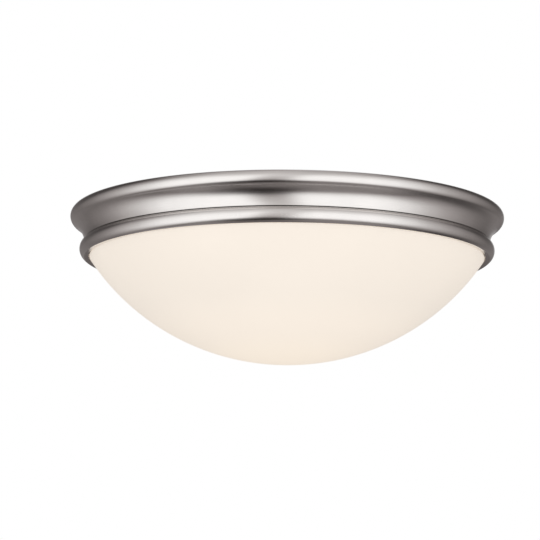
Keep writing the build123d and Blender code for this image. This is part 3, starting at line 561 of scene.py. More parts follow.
def satin_nickel(settings):
    """Brushed round the axis after spinning, then plated: fine rings, a soft grain and faint clouds, with painted
    shade at the fold.
    """
    material, sheet, shader, place = finish_sheet("satin_nickel")
    rings_place, rings_w = round_the_axis(sheet, place, 9.0, 2600.0)
    rings = noise(sheet, rings_place, 1.0, 2.0, 0.6, "4D", rings_w)
    fine_place, fine_w = round_the_axis(sheet, place, 260.0, 2600.0)
    fine = noise(sheet, fine_place, 1.0, 1.0, 0.5, "4D", fine_w)
    cloud = noise(sheet, place, 38.0, 3.0)
    grain = noise(sheet, place, 950.0, 2.0)
    mixed = sheet.math("ADD", sheet.math("MULTIPLY", rings, 0.5), sheet.math("MULTIPLY", fine, 0.5))
    height = sheet.math("ADD", sheet.math("MULTIPLY", mixed, 0.25), grain)
    raise_surface(sheet, shader, height, 0.00004, settings.nickel_grain)
    tone = sheet.math("ADD", sheet.math("MULTIPLY", mixed, 0.6), sheet.math("MULTIPLY", cloud, 0.4))
    base = tuple(settings.nickel)
    plating = sheet.ramp(tone, [(0.35, shade(base, 0.95)), (0.65, shade(base, 1.03))])
    # painted shade: the plating's colour is darkened down in the groove where the cove folds, standing in for the
    # crease's shade
    pan = bpy.context.scene.ceiling_light_pan
    fold = pan.lower_bead * math.sin(pan.fold_turn) - pan.lower_drop + pan.groove_height * 0.4
    off = sheet.math("ABSOLUTE", sheet.math("SUBTRACT", place_height(sheet, place), fold))
    painted_crease_shade = sheet.spread(off, pan.groove_height * 0.4, pan.groove_height * 1.3, settings.groove_shade, 1.0, True)
    # and painted shade on the lower band just under the fold, fading out downwards
    below = sheet.math("SUBTRACT", fold, place_height(sheet, place))
    painted_shade_below_fold = sheet.spread(below, 0.0012, 0.0042, settings.fold_shade, 1.0, True)
    above = sheet.spread(below, -0.0002, 0.0, 1.0, settings.fold_shade)
    painted_crease_shade = sheet.math("MULTIPLY", painted_crease_shade, sheet.math("MAXIMUM", painted_shade_below_fold, above))
    link(sheet, sheet.mix(1.0, plating, painted_crease_shade, "MULTIPLY"), shader, "Base Color")
    link(sheet, sheet.spread(tone, 0.3, 0.7, 0.15, 0.20), shader, "Roughness")
    set_shader(shader, metallic=1.0)
    return material


def opal_glass(settings):
    """Cased opal glass with a satin skin, with emission painted on it in place of the lamps' light from inside,
    brightest at the bottom.
    """
    material, sheet, shader, place = finish_sheet("opal_glass")
    base = tuple(settings.opal)
    cloud = noise(sheet, place, 14.0, 2.0)
    link(sheet, sheet.ramp(cloud, [(0.3, shade(base, 0.985)), (0.7, shade(base, 1.01))]), shader, "Base Color")
    # painted light: the glow is brightest and warmest at the bottom of the bowl and dims upwards, making up for the
    # dimmer light from below
    height = sheet.spread(place_height(sheet, place), -0.125, -0.06)
    glow = sheet.ramp(height, [(0.0, (1.0, 0.87, 0.71)), (0.3, (0.86, 0.765, 0.66)), (0.7, (0.76, 0.69, 0.61))])
    link(sheet, glow, shader, "Emission Color")
    skin = noise(sheet, place, 900.0, 2.0)
    link(sheet, sheet.spread(skin, 0.3, 0.7, 0.46, 0.54), shader, "Roughness")
    raise_surface(sheet, shader, skin, 0.00001, 0.3)
    set_shader(shader, emission_strength=settings.glow, ior=1.45)
    shader.inputs["Specular IOR Level"].default_value = 0.25
    return material


def place_height(sheet, place):
    return sheet.add("ShaderNodeSeparateXYZ", {0: place}).outputs["Z"]


def plated(name, base, rough=(0.24, 0.38), scale=90.0, relief=0.00002, streak=(1, 1, 1)):
    """Plated or bare metal with spangle clouds, fine scratches and uneven gloss."""
    material, sheet, shader, place = finish_sheet(name)
    stretched = sheet.add("ShaderNodeMapping", {"Vector": place, "Scale": streak}).outputs[0]
    cloud = noise(sheet, place, scale, 4.0)
    scratch = noise(sheet, stretched, scale * 14, 2.0, 0.7)
    tone = sheet.math("ADD", sheet.math("MULTIPLY", cloud, 0.6), sheet.math("MULTIPLY", scratch, 0.4))
    link(sheet, sheet.ramp(tone, [(0.34, shade(base, 0.86)), (0.66, shade(base, 1.06))]), shader, "Base Color")
    link(sheet, sheet.spread(tone, 0.35, 0.65, *rough), shader, "Roughness")
    raise_surface(sheet, shader, scratch, relief, 0.5)
    set_shader(shader, metallic=1.0)
    return material


def moulded(name, base, rough=(0.35, 0.45), relief=0.00003, scale=700.0, coat=0.0, glow=0.0):
    """Moulded plastic, porcelain or a sleeve: faint mottling, a fine skin and uneven gloss."""
    material, sheet, shader, place = finish_sheet(name)
    cloud = noise(sheet, place, 55.0, 3.0)
    skin = noise(sheet, place, scale, 2.0)
    link(sheet, sheet.ramp(cloud, [(0.3, shade(base, 0.93)), (0.7, shade(base, 1.03))]), shader, "Base Color")
    link(sheet, sheet.spread(skin, 0.3, 0.7, *rough), shader, "Roughness")
    raise_surface(sheet, shader, skin, relief, 0.4)
    set_shader(shader, coat_weight=coat, coat_roughness=0.08)
    if glow:
        shader.inputs["Emission Color"].default_value = (*base, 1)
        set_shader(shader, emission_strength=glow)
    return material


def mineral_wool(settings):
    """Matted glass fibre: tangled threads and straw flecks, with painted shade that darkens the hollows of its
    relief.
    """
    material, sheet, shader, place = finish_sheet("mineral_wool")
    base = tuple(settings.wool)
    tangle = sheet.add("ShaderNodeMapping", {"Vector": place, "Scale": (1, 0.25, 1), "Rotation": (0, 0, 0.6)})
    threads = noise(sheet, tangle.outputs[0], 900.0, 4.0, 0.7)
    clumps = noise(sheet, place, 120.0, 4.0, 0.6)
    tone = sheet.math("ADD", sheet.math("MULTIPLY", threads, 0.55), sheet.math("MULTIPLY", clumps, 0.45))
    # the colour follows the relief: painted shade where it is low, in the hollows
    stops = [(0.3, shade(base, 0.62)), (0.48, shade(base, 0.95)), (0.7, shade(base, 1.18))]
    link(sheet, sheet.ramp(tone, stops), shader, "Base Color")
    raise_surface(sheet, shader, tone, 0.0006, 0.8)
    set_shader(shader, roughness=0.95, sheen_weight=0.3, sheen_roughness=0.6)
    return material


def circuit_board():
    """White solder mask with a faint weave and soft clouds."""
    material, sheet, shader, place = finish_sheet("circuit_board")
    weave = noise(sheet, place, 1800.0, 1.0)
    cloud = noise(sheet, place, 80.0, 2.0)
    tone = sheet.math("ADD", sheet.math("MULTIPLY", weave, 0.4), sheet.math("MULTIPLY", cloud, 0.6))
    stops = [(0.35, (0.70, 0.72, 0.70)), (0.65, (0.86, 0.87, 0.85))]
    link(sheet, sheet.ramp(tone, stops), shader, "Base Color")
    raise_surface(sheet, shader, weave, 0.00002, 0.4)
    set_shader(shader, roughness=0.42)
    return material


def make_finishes():
    """Every finish by the name of its slot in the record, made once."""
    settings = bpy.context.scene.ceiling_light_finish
    zinc, brass = tuple(settings.zinc), tuple(settings.brass)
    made = {
        "satin_nickel": satin_nickel(settings),
        "opal_glass": opal_glass(settings),
        "mineral_wool": mineral_wool(settings),
        "circuit_board": circuit_board(),
        "zinc_plated_steel": plated("zinc_plated_steel", zinc, (0.26, 0.42), 70.0),
        "spring_steel": plated("spring_steel", (0.52, 0.53, 0.56), (0.22, 0.34), 60.0, streak=(1, 6, 6)),
        "brass": plated("brass", brass, (0.24, 0.36), 110.0),
        "green_screw": plated("green_screw", (0.10, 0.42, 0.20), (0.26, 0.4), 120.0),
        "tinned_copper": plated("tinned_copper", (0.74, 0.71, 0.68), (0.3, 0.45), 150.0),
        "nickel_plated_cap": plated("nickel_plated_cap", (0.80, 0.78, 0.74), (0.14, 0.26), 80.0),
        "solder": plated("solder", (0.66, 0.67, 0.69), (0.2, 0.4), 220.0, 0.00006),
        "black_plastic": moulded("black_plastic", (0.018, 0.018, 0.02), (0.42, 0.55), 0.00004),
        "white_nylon": moulded("white_nylon", (0.80, 0.79, 0.75), (0.36, 0.48), 0.00004),
        "green_sleeve": moulded("green_sleeve", (0.035, 0.27, 0.07), (0.3, 0.42), 0.00002),
        "black_sleeve": moulded("black_sleeve", (0.02, 0.02, 0.022), (0.3, 0.42), 0.00002),
        "white_sleeve": moulded("white_sleeve", (0.80, 0.80, 0.77), (0.3, 0.42), 0.00002),
        "porcelain": moulded("porcelain", (0.87, 0.86, 0.82), (0.16, 0.24), 0.00004, 260.0, coat=0.6),
        "black_glass": moulded("black_glass", (0.012, 0.012, 0.016), (0.06, 0.14), 0.00002, 300.0),
        "white_housing": moulded("white_housing", (0.86, 0.86, 0.84), (0.32, 0.42), 0.00003),
        "frosted_plastic": moulded("frosted_plastic", (0.92, 0.90, 0.85), (0.5, 0.6), 0.00001, glow=0.25),
    }
    return made


def finish_named(name):
    if name not in bpy.data.materials or "made_here" not in bpy.data.materials[name]:
        for material in list(bpy.data.materials):
            material.name = material.name + "_plain"
        for label, material in make_finishes().items():
            material["made_here"] = True
            material.name = label
    return bpy.data.materials[name]


def settle(piece, body, slot, *nodes):
    """Puts a finished piece on its body, in its finish, in place of its CAD nodes."""
    if not piece.data.materials:
        piece.data.materials.append(finish_named(slot))
    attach(piece, body)
    if nodes:
        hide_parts(*nodes)
    return piece


def paint(node, slot):
    """A CAD node keeps its shape and gets its finish."""
    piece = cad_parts[node]
    for entry in piece.material_slots:
        entry.material = finish_named(slot)


# ---- Operators ------------------------------------------------------------------------------------

class CEILINGLIGHT_OT_studio(bpy.types.Operator):
    """Camera, soft lights, pale floor and the surroundings that the metal mirrors"""
    bl_idname = "ceiling_light.studio"
    bl_label = "Studio"

    def execute(self, context):
        settings = context.scene.ceiling_light_studio
        context.scene.view_settings.view_transform = "Standard"
        self.make_camera(context, settings)
        self.make_floor(settings)
        self.make_softboxes(settings)
        self.make_surroundings(context, settings)
        return {"FINISHED"}

    def make_camera(self, context, settings):
        lens = bpy.data.cameras.new("camera")
        lens.lens = settings.lens
        lens.sensor_width = 36.0
        lens.clip_start, lens.clip_end = 0.05, 50.0
        camera = bpy.data.objects.new("camera", lens)
        context.scene.collection.objects.link(camera)
        place = Vector((0, -math.cos(settings.below), -math.sin(settings.below))) * settings.distance
        level = Matrix.Rotation(math.radians(90) + settings.below, 4, "X")
        aim = Matrix.Rotation(settings.aim_left, 4, "Y") @ Matrix.Rotation(-settings.aim_down, 4, "X")
        camera.matrix_world = Matrix.Translation(place) @ level @ aim @ Matrix.Rotation(settings.roll, 4, "Z")
        context.scene.camera = camera

    def make_floor(self, settings):
        bpy.ops.mesh.primitive_plane_add(size=24, location=(0, 0, -settings.floor_drop))
        floor = bpy.context.object
        floor.name = "floor"
        material = bpy.data.materials.new("pale_floor")
        material.use_nodes = True
        sheet = Sheet(material.node_tree)
        tree = material.node_tree
        shader, end = tree.nodes["Principled BSDF"], tree.nodes["Material Output"]
        set_shader(shader, roughness=0.9)
        shader.inputs["Base Color"].default_value = (0.80, 0.79, 0.78, 1)
        seen = sheet.add("ShaderNodeLightPath").outputs["Is Camera Ray"]
        white = sheet.add("ShaderNodeEmission", {"Strength": 1.0}).outputs[0]
        mixed = sheet.add("ShaderNodeMixShader", {0: seen, 1: shader.outputs[0], 2: white})
        tree.links.new(mixed.outputs[0], end.inputs["Surface"])
        floor.data.materials.append(material)
        floor.visible_glossy = False

    def make_softboxes(self, settings):
        for side in (-1, 1):
            lamp = bpy.data.lights.new("softbox", "AREA")
            lamp.shape = "RECTANGLE"
            lamp.size, lamp.size_y = 1.8, 2.0
            lamp.energy = settings.softbox
            box = bpy.data.objects.new("softbox", lamp)
            bpy.context.scene.collection.objects.link(box)
            place = Vector((side * 1.7, -2.0, -0.6))
            box.matrix_world = Matrix.Translation(place) @ (place).to_track_quat("Z", "Y").to_matrix().to_4x4()
            box.visible_camera = False
            box.visible_glossy = False

    def make_surroundings(self, context, settings):
        """White to the camera. Metal mirrors two white walls in front with a gap between them,
        darker sides, a white backdrop behind and a dim floor."""
        world = bpy.data.worlds.new("studio")
        world.use_nodes = True
        context.scene.world = world
        world.node_tree.nodes.clear()
        sheet = Sheet(world.node_tree)
        way = sheet.add("ShaderNodeTexCoord").outputs["Generated"]
        parts = sheet.add("ShaderNodeSeparateXYZ", {0: way}).outputs
        ahead = sheet.math("MULTIPLY", parts["Y"], -1.0)
        # 0 and 1 are straight behind, and 0.5 is towards the camera
        turn = sheet.math("ADD", sheet.math("DIVIDE", sheet.math("ARCTAN2", parts["X"], ahead), math.tau), 0.5)
        # 0 is straight down, and 1 is straight up
        level = sheet.math("ADD", sheet.math("DIVIDE", sheet.math("ARCSINE", parts["Z"]), math.pi), 0.5)
        # the two lobes of light lean outwards, by degrees at each height
        leaning = (
            (0.44, 0.22, 1.0, [
                (-64, 8), (-52, 12), (-40, 15), (-28, 13.5), (-16, 10), (-4, 5), (10, 1), (30, -2), (50, 0),
            ]),
            (0.56, 0.70, -1.0, [
                (-60, 2), (-44, 1), (-28, 5), (-16, 4), (-4, 2), (10, 0), (28, 4), (36, 9), (44, 12), (52, 11),
                (62, 5), (75, 0),
            ]),
        )
        shifted = turn
        for start, end, side, stops in leaning:
            share = sheet.math("DIVIDE", sheet.math("SUBTRACT", turn, start), end - start, clamp=True)
            lean = sheet.ramp(level, [(angle / 180 + 0.5, degrees / 60 + 0.5) for angle, degrees in stops], "LINEAR")
            lean = sheet.math("MULTIPLY", sheet.math("SUBTRACT", lean, 0.5), side * 60 / 360)
            shifted = sheet.math("ADD", shifted, sheet.math("MULTIPLY", share, lean))
        walls = self.bands(sheet, shifted, 360, [
            (-180, 0.30), (-160, 0.20), (-136, 0.15), (-118, 0.21), (-104, 0.33), (-90, 0.51), (-78, 0.76),
            (-66, 1.0), (-52, 1.12), (44, 1.12), (58, 1.04), (70, 0.82), (82, 0.56), (96, 0.38), (112, 0.25),
            (128, 0.17), (142, 0.14), (160, 0.2), (180, 0.30),
        ])
        rise = self.bands(sheet, level, 180, [
            (-90, 0.10), (-66, 0.14), (-57, 0.34), (-48, 0.74), (-39, 0.94), (-28, 1.0), (-4, 1.0), (14, 0.95),
            (30, 0.78), (46, 0.62), (62, 0.50), (90, 0.47),
        ])
        over = self.bands(sheet, level, 180, [
            (-90, 0.22), (-62, 0.24), (-50, 0.10), (-40, 0.0), (40, 0.0), (52, 0.16), (60, 0.33), (72, 0.45), (90, 0.50),
        ])
        lit = sheet.mix(1.0, sheet.mix(1.0, walls, rise, "MULTIPLY"), over, "LIGHTEN")
        backdrops = (
            ([(-180, 0.46), (-170, 0.42), (-157, 0.0), (157, 0.0), (168, 0.75), (180, 0.75)],
             [(-2, 0.0), (8, 1.0), (40, 1.0), (58, 0.7), (66, 0.6)]),
            ([(-180, 0.46), (-150, 0.5), (-136, 0.25), (-124, 0.0), (130, 0.0), (150, 0.3), (180, 0.44)],
             [(-88, 0.3), (-76, 0.66), (-66, 1.0), (-50, 1.0), (-36, 0.3), (-28, 0.0)]),
        )
        for across, upward in backdrops:
            behind = sheet.mix(1.0, self.bands(sheet, turn, 360, across), self.bands(sheet, level, 180, upward), "MULTIPLY")
            lit = sheet.mix(1.0, lit, behind, "LIGHTEN")
        # the upright gap between the two front walls
        across = sheet.add("ShaderNodeVectorMath", {0: way, 1: (0.990, -0.080, -0.110)}, operation="DOT_PRODUCT")
        off = sheet.math("ABSOLUTE", across.outputs["Value"])
        depth = self.bands(sheet, level, 180, [
            (-90, 0.8), (-80, 0.6), (-70, 0.28), (-50, 0.14), (-38, 0.28), (-24, 0.41), (4, 0.53), (28, 0.71), (56, 0.96),
        ])
        gap = sheet.mix(sheet.spread(off, 0.05, 0.29, 0.0, 1.0, True), depth, (1.0, 1.0, 1.0))
        mirrored = sheet.mix(1.0, lit, gap, "MULTIPLY")
        # dark corners of the studio: turn, height, inner and outer size in degrees, and what is left there
        for corner in ((-31, -63, 7, 29, 0.45), (-142, 32, 8, 38, 0.45), (146, 32, 8, 36, 0.45), (142, -40, 4, 26, 0.5)):
            mirrored = sheet.mix(1.0, mirrored, self.corner(sheet, way, *corner), "MULTIPLY")
        path = sheet.add("ShaderNodeLightPath").outputs
        plain = sheet.add("ShaderNodeBackground", {"Color": (1.0, 0.985, 0.97, 1), "Strength": settings.fill})
        metal = sheet.add("ShaderNodeBackground", {"Color": mirrored, "Strength": 1.0})
        white = sheet.add("ShaderNodeBackground", {"Color": (1, 1, 1, 1), "Strength": 1.0})
        first = sheet.add("ShaderNodeMixShader", {0: path["Is Glossy Ray"], 1: plain.outputs[0], 2: metal.outputs[0]})
        direct = sheet.math("MAXIMUM", path["Is Camera Ray"], path["Is Transmission Ray"])
        last = sheet.add("ShaderNodeMixShader", {0: direct, 1: first.outputs[0], 2: white.outputs[0]})
        sheet.add("ShaderNodeOutputWorld", {"Surface": last.outputs[0]})

    def bands(self, sheet, value, full, stops):
        """Light by angle. Full is the whole range in degrees, with 0 in its middle."""
        tinted = [((angle / full) + 0.5, self.tint(light)) for angle, light in stops]
        return sheet.ramp(value, tinted, "LINEAR")

    def corner(self, sheet, way, turn, height, inner, outer, left):
        """A soft round dark place in the surroundings."""
        turn, height = math.radians(turn), math.radians(height)
        middle_way = (math.cos(height) * math.sin(turn), -math.cos(height) * math.cos(turn), math.sin(height))
        near = sheet.add("ShaderNodeVectorMath", {0: way, 1: middle_way}, operation="DOT_PRODUCT")
        angle = sheet.math("ARCCOSINE", near.outputs["Value"])
        return sheet.spread(angle, math.radians(inner), math.radians(outer), left, 1.0, True)

    def tint(self, light):
        """Dim parts of the studio are slightly warm."""
        warm = max(0.0, 1.0 - light) ** 1.6
        return light * (1 + 0.09 * warm), light * (1 - 0.03 * warm), light * (1 - 0.05 * warm)


class CEILINGLIGHT_OT_pan(bpy.types.Operator):
    """Spun and pressed pan with its two bands, lip, recess and punched plate"""
    bl_idname = "ceiling_light.pan"
    bl_label = "Pan"

    def execute(self, context):
        pan = context.scene.ceiling_light_pan
        finish = finish_named("satin_nickel")
        path = self.outside(pan)
        under = under_side(path, pan.wall)
        points = without_doubles([point for point, _ in path] + under[::-1])
        skin = turned(points, pan.segments, finish, "pan_spun")
        plate = self.punched_plate(pan, finish)
        whole = bmesh.new()
        whole.from_mesh(skin.data)
        whole.from_mesh(plate.data)
        bmesh.ops.remove_doubles(whole, verts=whole.verts, dist=3e-6)
        bmesh.ops.recalc_face_normals(whole, faces=whole.faces)
        mesh = bpy.data.meshes.new("pan_spun_pressed")
        whole.to_mesh(mesh)
        whole.free()
        mesh.materials.append(finish)
        for piece in (skin, plate):
            bpy.data.objects.remove(piece)
        made = add_object("pan_spun_pressed", mesh)
        shade_by_angle(made, 28)
        settle(made, PAN_BODY, "satin_nickel", "pan")
        return {"FINISHED"}

    def outside(self, pan):
        """The pan's outer line, from the plate's edge over the land, the bands and the lip."""
        upper = (pan.radius - pan.upper_bead, -pan.upper_bead)
        lower = (pan.lower_radius - pan.lower_bead, -pan.lower_drop)
        crease = Vector(upper) + pan.upper_bead * Vector((math.cos(pan.upper_turn), -math.sin(pan.upper_turn)))
        fold = Vector(lower) + pan.lower_bead * Vector((math.cos(pan.fold_turn), math.sin(pan.fold_turn)))
        corner = Vector(lower) + pan.lower_bead * Vector((math.cos(pan.lip_turn), -math.sin(pan.lip_turn)))
        across, up = crease.x - fold.x, crease.y - fold.y
        cove = (across**2 + up**2) / (2 * across)
        centre = (fold.x + cove, fold.y)
        start = math.atan2(up, across - cove)
        rise = (corner.x - pan.lip_radius) * math.tan(pan.lip_slope)
        plate = [
            (pan.seam_radius, -pan.recess_depth),
            (pan.recess_radius, -pan.recess_depth),
            (pan.recess_radius + pan.recess_draft, 0),
            (upper[0], 0),
        ]
        path = rounded(plate, pan.press_bend)
        path += arc(upper, pan.upper_bead, math.pi / 2, -pan.upper_turn, 44)
        path += arc(centre, cove, start, math.pi, 34)[:-1]
        path += self.groove(pan, path[-1][0], fold)
        path += arc(lower, pan.lower_bead, pan.fold_turn, -pan.lip_turn, 40)
        path += straight(corner, (pan.lip_radius, corner.y + rise), 3)
        return path

    def groove(self, pan, above, fold):
        """The narrow rolled groove between the cove and the lower band."""
        top = Vector((fold.x, fold.y + pan.groove_height))
        bottom = Vector((fold.x - pan.groove_depth, fold.y + pan.groove_height * 0.3))
        return straight(above, top)[1:] + straight(top, bottom)[1:] + straight(bottom, fold)

    def punched_plate(self, pan, finish):
        """The flat plate with its keyholes and other holes, open at its edge."""
        height = -pan.recess_depth - pan.wall / 2
        plate = self.puck(pan.seam_radius, pan.wall, (0, 0, height), pan.segments)
        cutters = []
        grommet, screws = middle("entry_grommet"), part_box("pan_screws")
        spread, shank, head = (screws[1].x - 0.0041), 0.00245, 0.0045
        holes = [(0.008, grommet.x, grommet.y), (0.00195, middle("earth_screw").x, middle("earth_screw").y)]
        clips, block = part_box("lead_clips"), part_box("terminal_block_screws")
        holes += [(0.00165, x, (clips[0].y + clips[1].y) / 2) for x in (clips[0].x + 0.004, clips[1].x - 0.004)]
        holes += [(0.00155, middle("terminal_block").x, y) for y in (block[0].y + 0.0027, block[1].y - 0.0027)]
        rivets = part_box("bracket_rivets")
        for side in (1, -1):
            holes += [(shank, side * spread, 0), (head, side * spread, -side * 0.010)]
            cutters.append(self.bar(side * spread, -side * 0.005, height, 2 * shank, 0.010, pan.wall * 4))
            for y in (rivets[1].y - 0.003, rivets[1].y - 0.019):
                holes.append((0.00165, -side * (rivets[1].x - 0.003), side * y))
        for radius, x, y in holes:
            cutters.append(self.puck(radius, pan.wall * 4, (x, y, height), 40))
        group = bpy.data.collections.new("punches")
        for cutter in cutters:
            group.objects.link(cutter)
        cut = plate.modifiers.new("punch", "BOOLEAN")
        cut.operand_type, cut.collection, cut.operation, cut.solver = "COLLECTION", group, "DIFFERENCE", "EXACT"
        bpy.context.view_layer.update()
        graph = bpy.context.evaluated_depsgraph_get()
        mesh = bpy.data.meshes.new_from_object(plate.evaluated_get(graph), depsgraph=graph)
        for piece in [plate, *cutters]:
            bpy.data.objects.remove(piece)
        bpy.data.collections.remove(group)
        skin = bmesh.new()
        skin.from_mesh(mesh)
        skin.normal_update()
        rim = [
            face
            for face in skin.faces
            if abs(face.normal.z) < 0.5 and face.calc_center_median().xy.length > pan.seam_radius * 0.995
        ]
        bmesh.ops.delete(skin, geom=rim, context="FACES")
        bmesh.ops.triangulate(skin, faces=[face for face in skin.faces if len(face.verts) > 4])
        skin.to_mesh(mesh)
        skin.free()
        return add_object("plate", mesh)

    def puck(self, radius, thick, place, sides):
        skin = bmesh.new()
        bmesh.ops.create_cone(
            skin, cap_ends=True, segments=sides, radius1=radius, radius2=radius, depth=thick,
            matrix=Matrix.Translation(place),
        )
        turn = Vector((radius, 0))
        first = min((v.co.xy - Vector(place[:2])).angle_signed(turn) % (math.tau / sides) for v in skin.verts)
        bmesh.ops.rotate(skin, cent=place, matrix=Matrix.Rotation(first, 3, "Z"), verts=skin.verts)
        mesh = bpy.data.meshes.new("puck")
        skin.to_mesh(mesh)
        skin.free()
        return add_object("puck", mesh)

    def bar(self, x, y, z, width, long, thick):
        skin = bmesh.new()
        bmesh.ops.create_cube(
            skin, size=1, matrix=Matrix.Translation((x, y, z)) @ Matrix.Diagonal((width, long, thick, 1))
        )
        mesh = bpy.data.meshes.new("bar")
        skin.to_mesh(mesh)
        skin.free()
        return add_object("bar", mesh)


class CEILINGLIGHT_OT_glass(bpy.types.Operator):
    """Opal glass bowl with its shoulder, collar and beaded rim"""
    bl_idname = "ceiling_light.glass"
    bl_label = "Glass Bowl"

    def execute(self, context):
        glass = context.scene.ceiling_light_glass
        bowl = turned(self.section(glass), glass.segments, finish_named("opal_glass"), "glass_bowl_blown", 50)
        face_out(bowl)
        settle(bowl, GLASS_BODY, "opal_glass", "glass_bowl")
        return {"FINISHED"}

    def section(self, glass):
        """The closed section, from the lowest point up the outside, over the rim and down inside."""
        centre = glass.half_height - glass.depth
        collar = glass.shoulder - glass.collar_step
        outer_end = math.asin((-glass.shoulder_drop - centre) / glass.half_height)
        outer_axis = glass.shoulder / math.cos(outer_end)
        inner_radius = collar - glass.wall
        inner_axis = outer_axis - glass.wall
        inner_end = -math.acos(inner_radius / inner_axis)
        outside = ellipse(outer_axis, glass.half_height, centre, -math.pi / 2, outer_end, 72)
        inside = ellipse(inner_axis, glass.half_height - glass.wall, centre, inner_end, -math.pi / 2, 60)
        step = glass.shoulder_round
        shoulder = (glass.shoulder - step / 5, -glass.shoulder_drop + step)
        collar_low = (collar, -glass.shoulder_drop + step + glass.collar_step * 0.6)
        leaving = Vector((-outer_axis * math.sin(outer_end), glass.half_height * math.cos(outer_end)))
        over = smooth_line([outside[-1], shoulder, collar_low], leaving, (0, 1), 8)
        bead = (collar + glass.rim_bead_out, -glass.rim_drop)
        dip = math.asin(glass.rim_bead_out / glass.rim_bead)
        ball = [point for point, _ in arc(bead, glass.rim_bead, -math.pi / 2 - dip, math.pi / 2, 26)]
        turn = glass.wall * 0.3
        edge = (inner_radius + turn, bead[1] + glass.rim_bead - turn)
        rim = [point for point, _ in arc(edge, turn, math.pi / 2, math.pi, 8)]
        return without_doubles(outside + over[1:] + ball + rim + inside)


class CEILINGLIGHT_OT_insulation(bpy.types.Operator):
    """Mineral wool pad behind the pan's plate, matted and frayed"""
    bl_idname = "ceiling_light.insulation"
    bl_label = "Insulation Pad"

    def execute(self, context):
        low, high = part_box("insulation_pad")
        finish = finish_named("mineral_wool")
        pad = self.batt(low, high)
        pad.data.materials.append(finish)
        threads = self.threads(pad, finish)
        whole = bmesh.new()
        whole.from_mesh(pad.data)
        whole.from_mesh(threads.data)
        for vertex in whole.verts:
            vertex.co.z = min(max(vertex.co.z, low.z + 0.0001), high.z - 0.0001)
        whole.to_mesh(pad.data)
        whole.free()
        bpy.data.objects.remove(threads)
        shade_by_angle(pad, 60)
        settle(pad, PAN_BODY, "mineral_wool", "insulation_pad")
        return {"FINISHED"}

    def batt(self, low, high):
        """A soft-edged disc with its three openings, lofty between the screws and uneven on top."""
        radius = high.x - 0.0012
        grommet = middle("entry_grommet")
        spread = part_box("pan_screws")[1].x - 0.0041
        holes = [(0.0138, grommet.x, grommet.y), (0.0068, spread, 0), (0.0068, -spread, 0)]
        skin = bmesh.new()
        rings, sides = 64, 220
        inset = 0.0022
        for layer in (1, -1):
            rows = []
            for ring in range(1, rings + 1):
                distance = radius * ring / rings
                rows.append([
                    skin.verts.new((distance * math.cos(t), distance * math.sin(t), layer))
                    for t in (math.tau * side / sides for side in range(sides))
                ])
            hub = skin.verts.new((0, 0, layer))
            for side in range(sides):
                after = (side + 1) % sides
                skin.faces.new((hub, rows[0][side], rows[0][after]) if layer > 0 else (hub, rows[0][after], rows[0][side]))
                for inner, outer in zip(rows, rows[1:]):
                    quad = (inner[side], outer[side], outer[after], inner[after])
                    skin.faces.new(quad if layer > 0 else quad[::-1])
            if layer > 0:
                top_edge = rows[-1]
        for side in range(sides):
            after = (side + 1) % sides
            skin.faces.new((top_edge[side], rows[-1][side], rows[-1][after], top_edge[after]))
        half = (high.z - low.z) / 2
        level = (high.z + low.z) / 2
        gone = []
        for face in skin.faces:
            centre = face.calc_center_median()
            if any((centre.xy - Vector((x, y))).length < hole * 0.94 for hole, x, y in holes):
                gone.append(face)
        bmesh.ops.delete(skin, geom=gone, context="FACES")
        loops = [edge for edge in skin.edges if edge.is_boundary]
        upper = [edge for edge in loops if edge.verts[0].co.z > 0]
        lower = [edge for edge in loops if edge.verts[0].co.z < 0]
        bmesh.ops.bridge_loops(skin, edges=upper + lower) if len(upper) == len(lower) else None
        for vertex in skin.verts:
            layer = 1 if vertex.co.z > 0 else -1
            place = vertex.co.xy
            margin = radius - place.length
            for hole, x, y in holes:
                margin = min(margin, (place - Vector((x, y))).length - hole * 0.94)
            margin = max(0.0, margin)
            soft = min(1.0, margin / inset)
            edge = math.sqrt(max(0.0, 1 - (1 - soft) ** 2))
            wave = ripple(place.x, place.y)
            thick = half * (0.34 + 0.66 * edge) - 0.0005 - 0.0006 * (1 - wave)
            vertex.co.z = level + layer * thick
        skin.normal_update()
        bmesh.ops.recalc_face_normals(skin, faces=skin.faces)
        mesh = bpy.data.meshes.new("insulation_batt")
        skin.to_mesh(mesh)
        skin.free()
        return add_object("insulation_batt", mesh)

    def threads(self, pad, finish):
        """Loose fibres on the upper side."""
        top = bmesh.new()
        top.from_mesh(pad.data)
        hidden = [face for face in top.faces if face.normal.z < 0.8]
        bmesh.ops.delete(top, geom=hidden, context="FACES")
        mesh = bpy.data.meshes.new("upper_side")
        top.to_mesh(mesh)
        top.free()
        values = {"Density": 52000.0, "Material": finish}
        return run_tree(add_object("upper_side", mesh), fibre_tree(), values, "fibres")


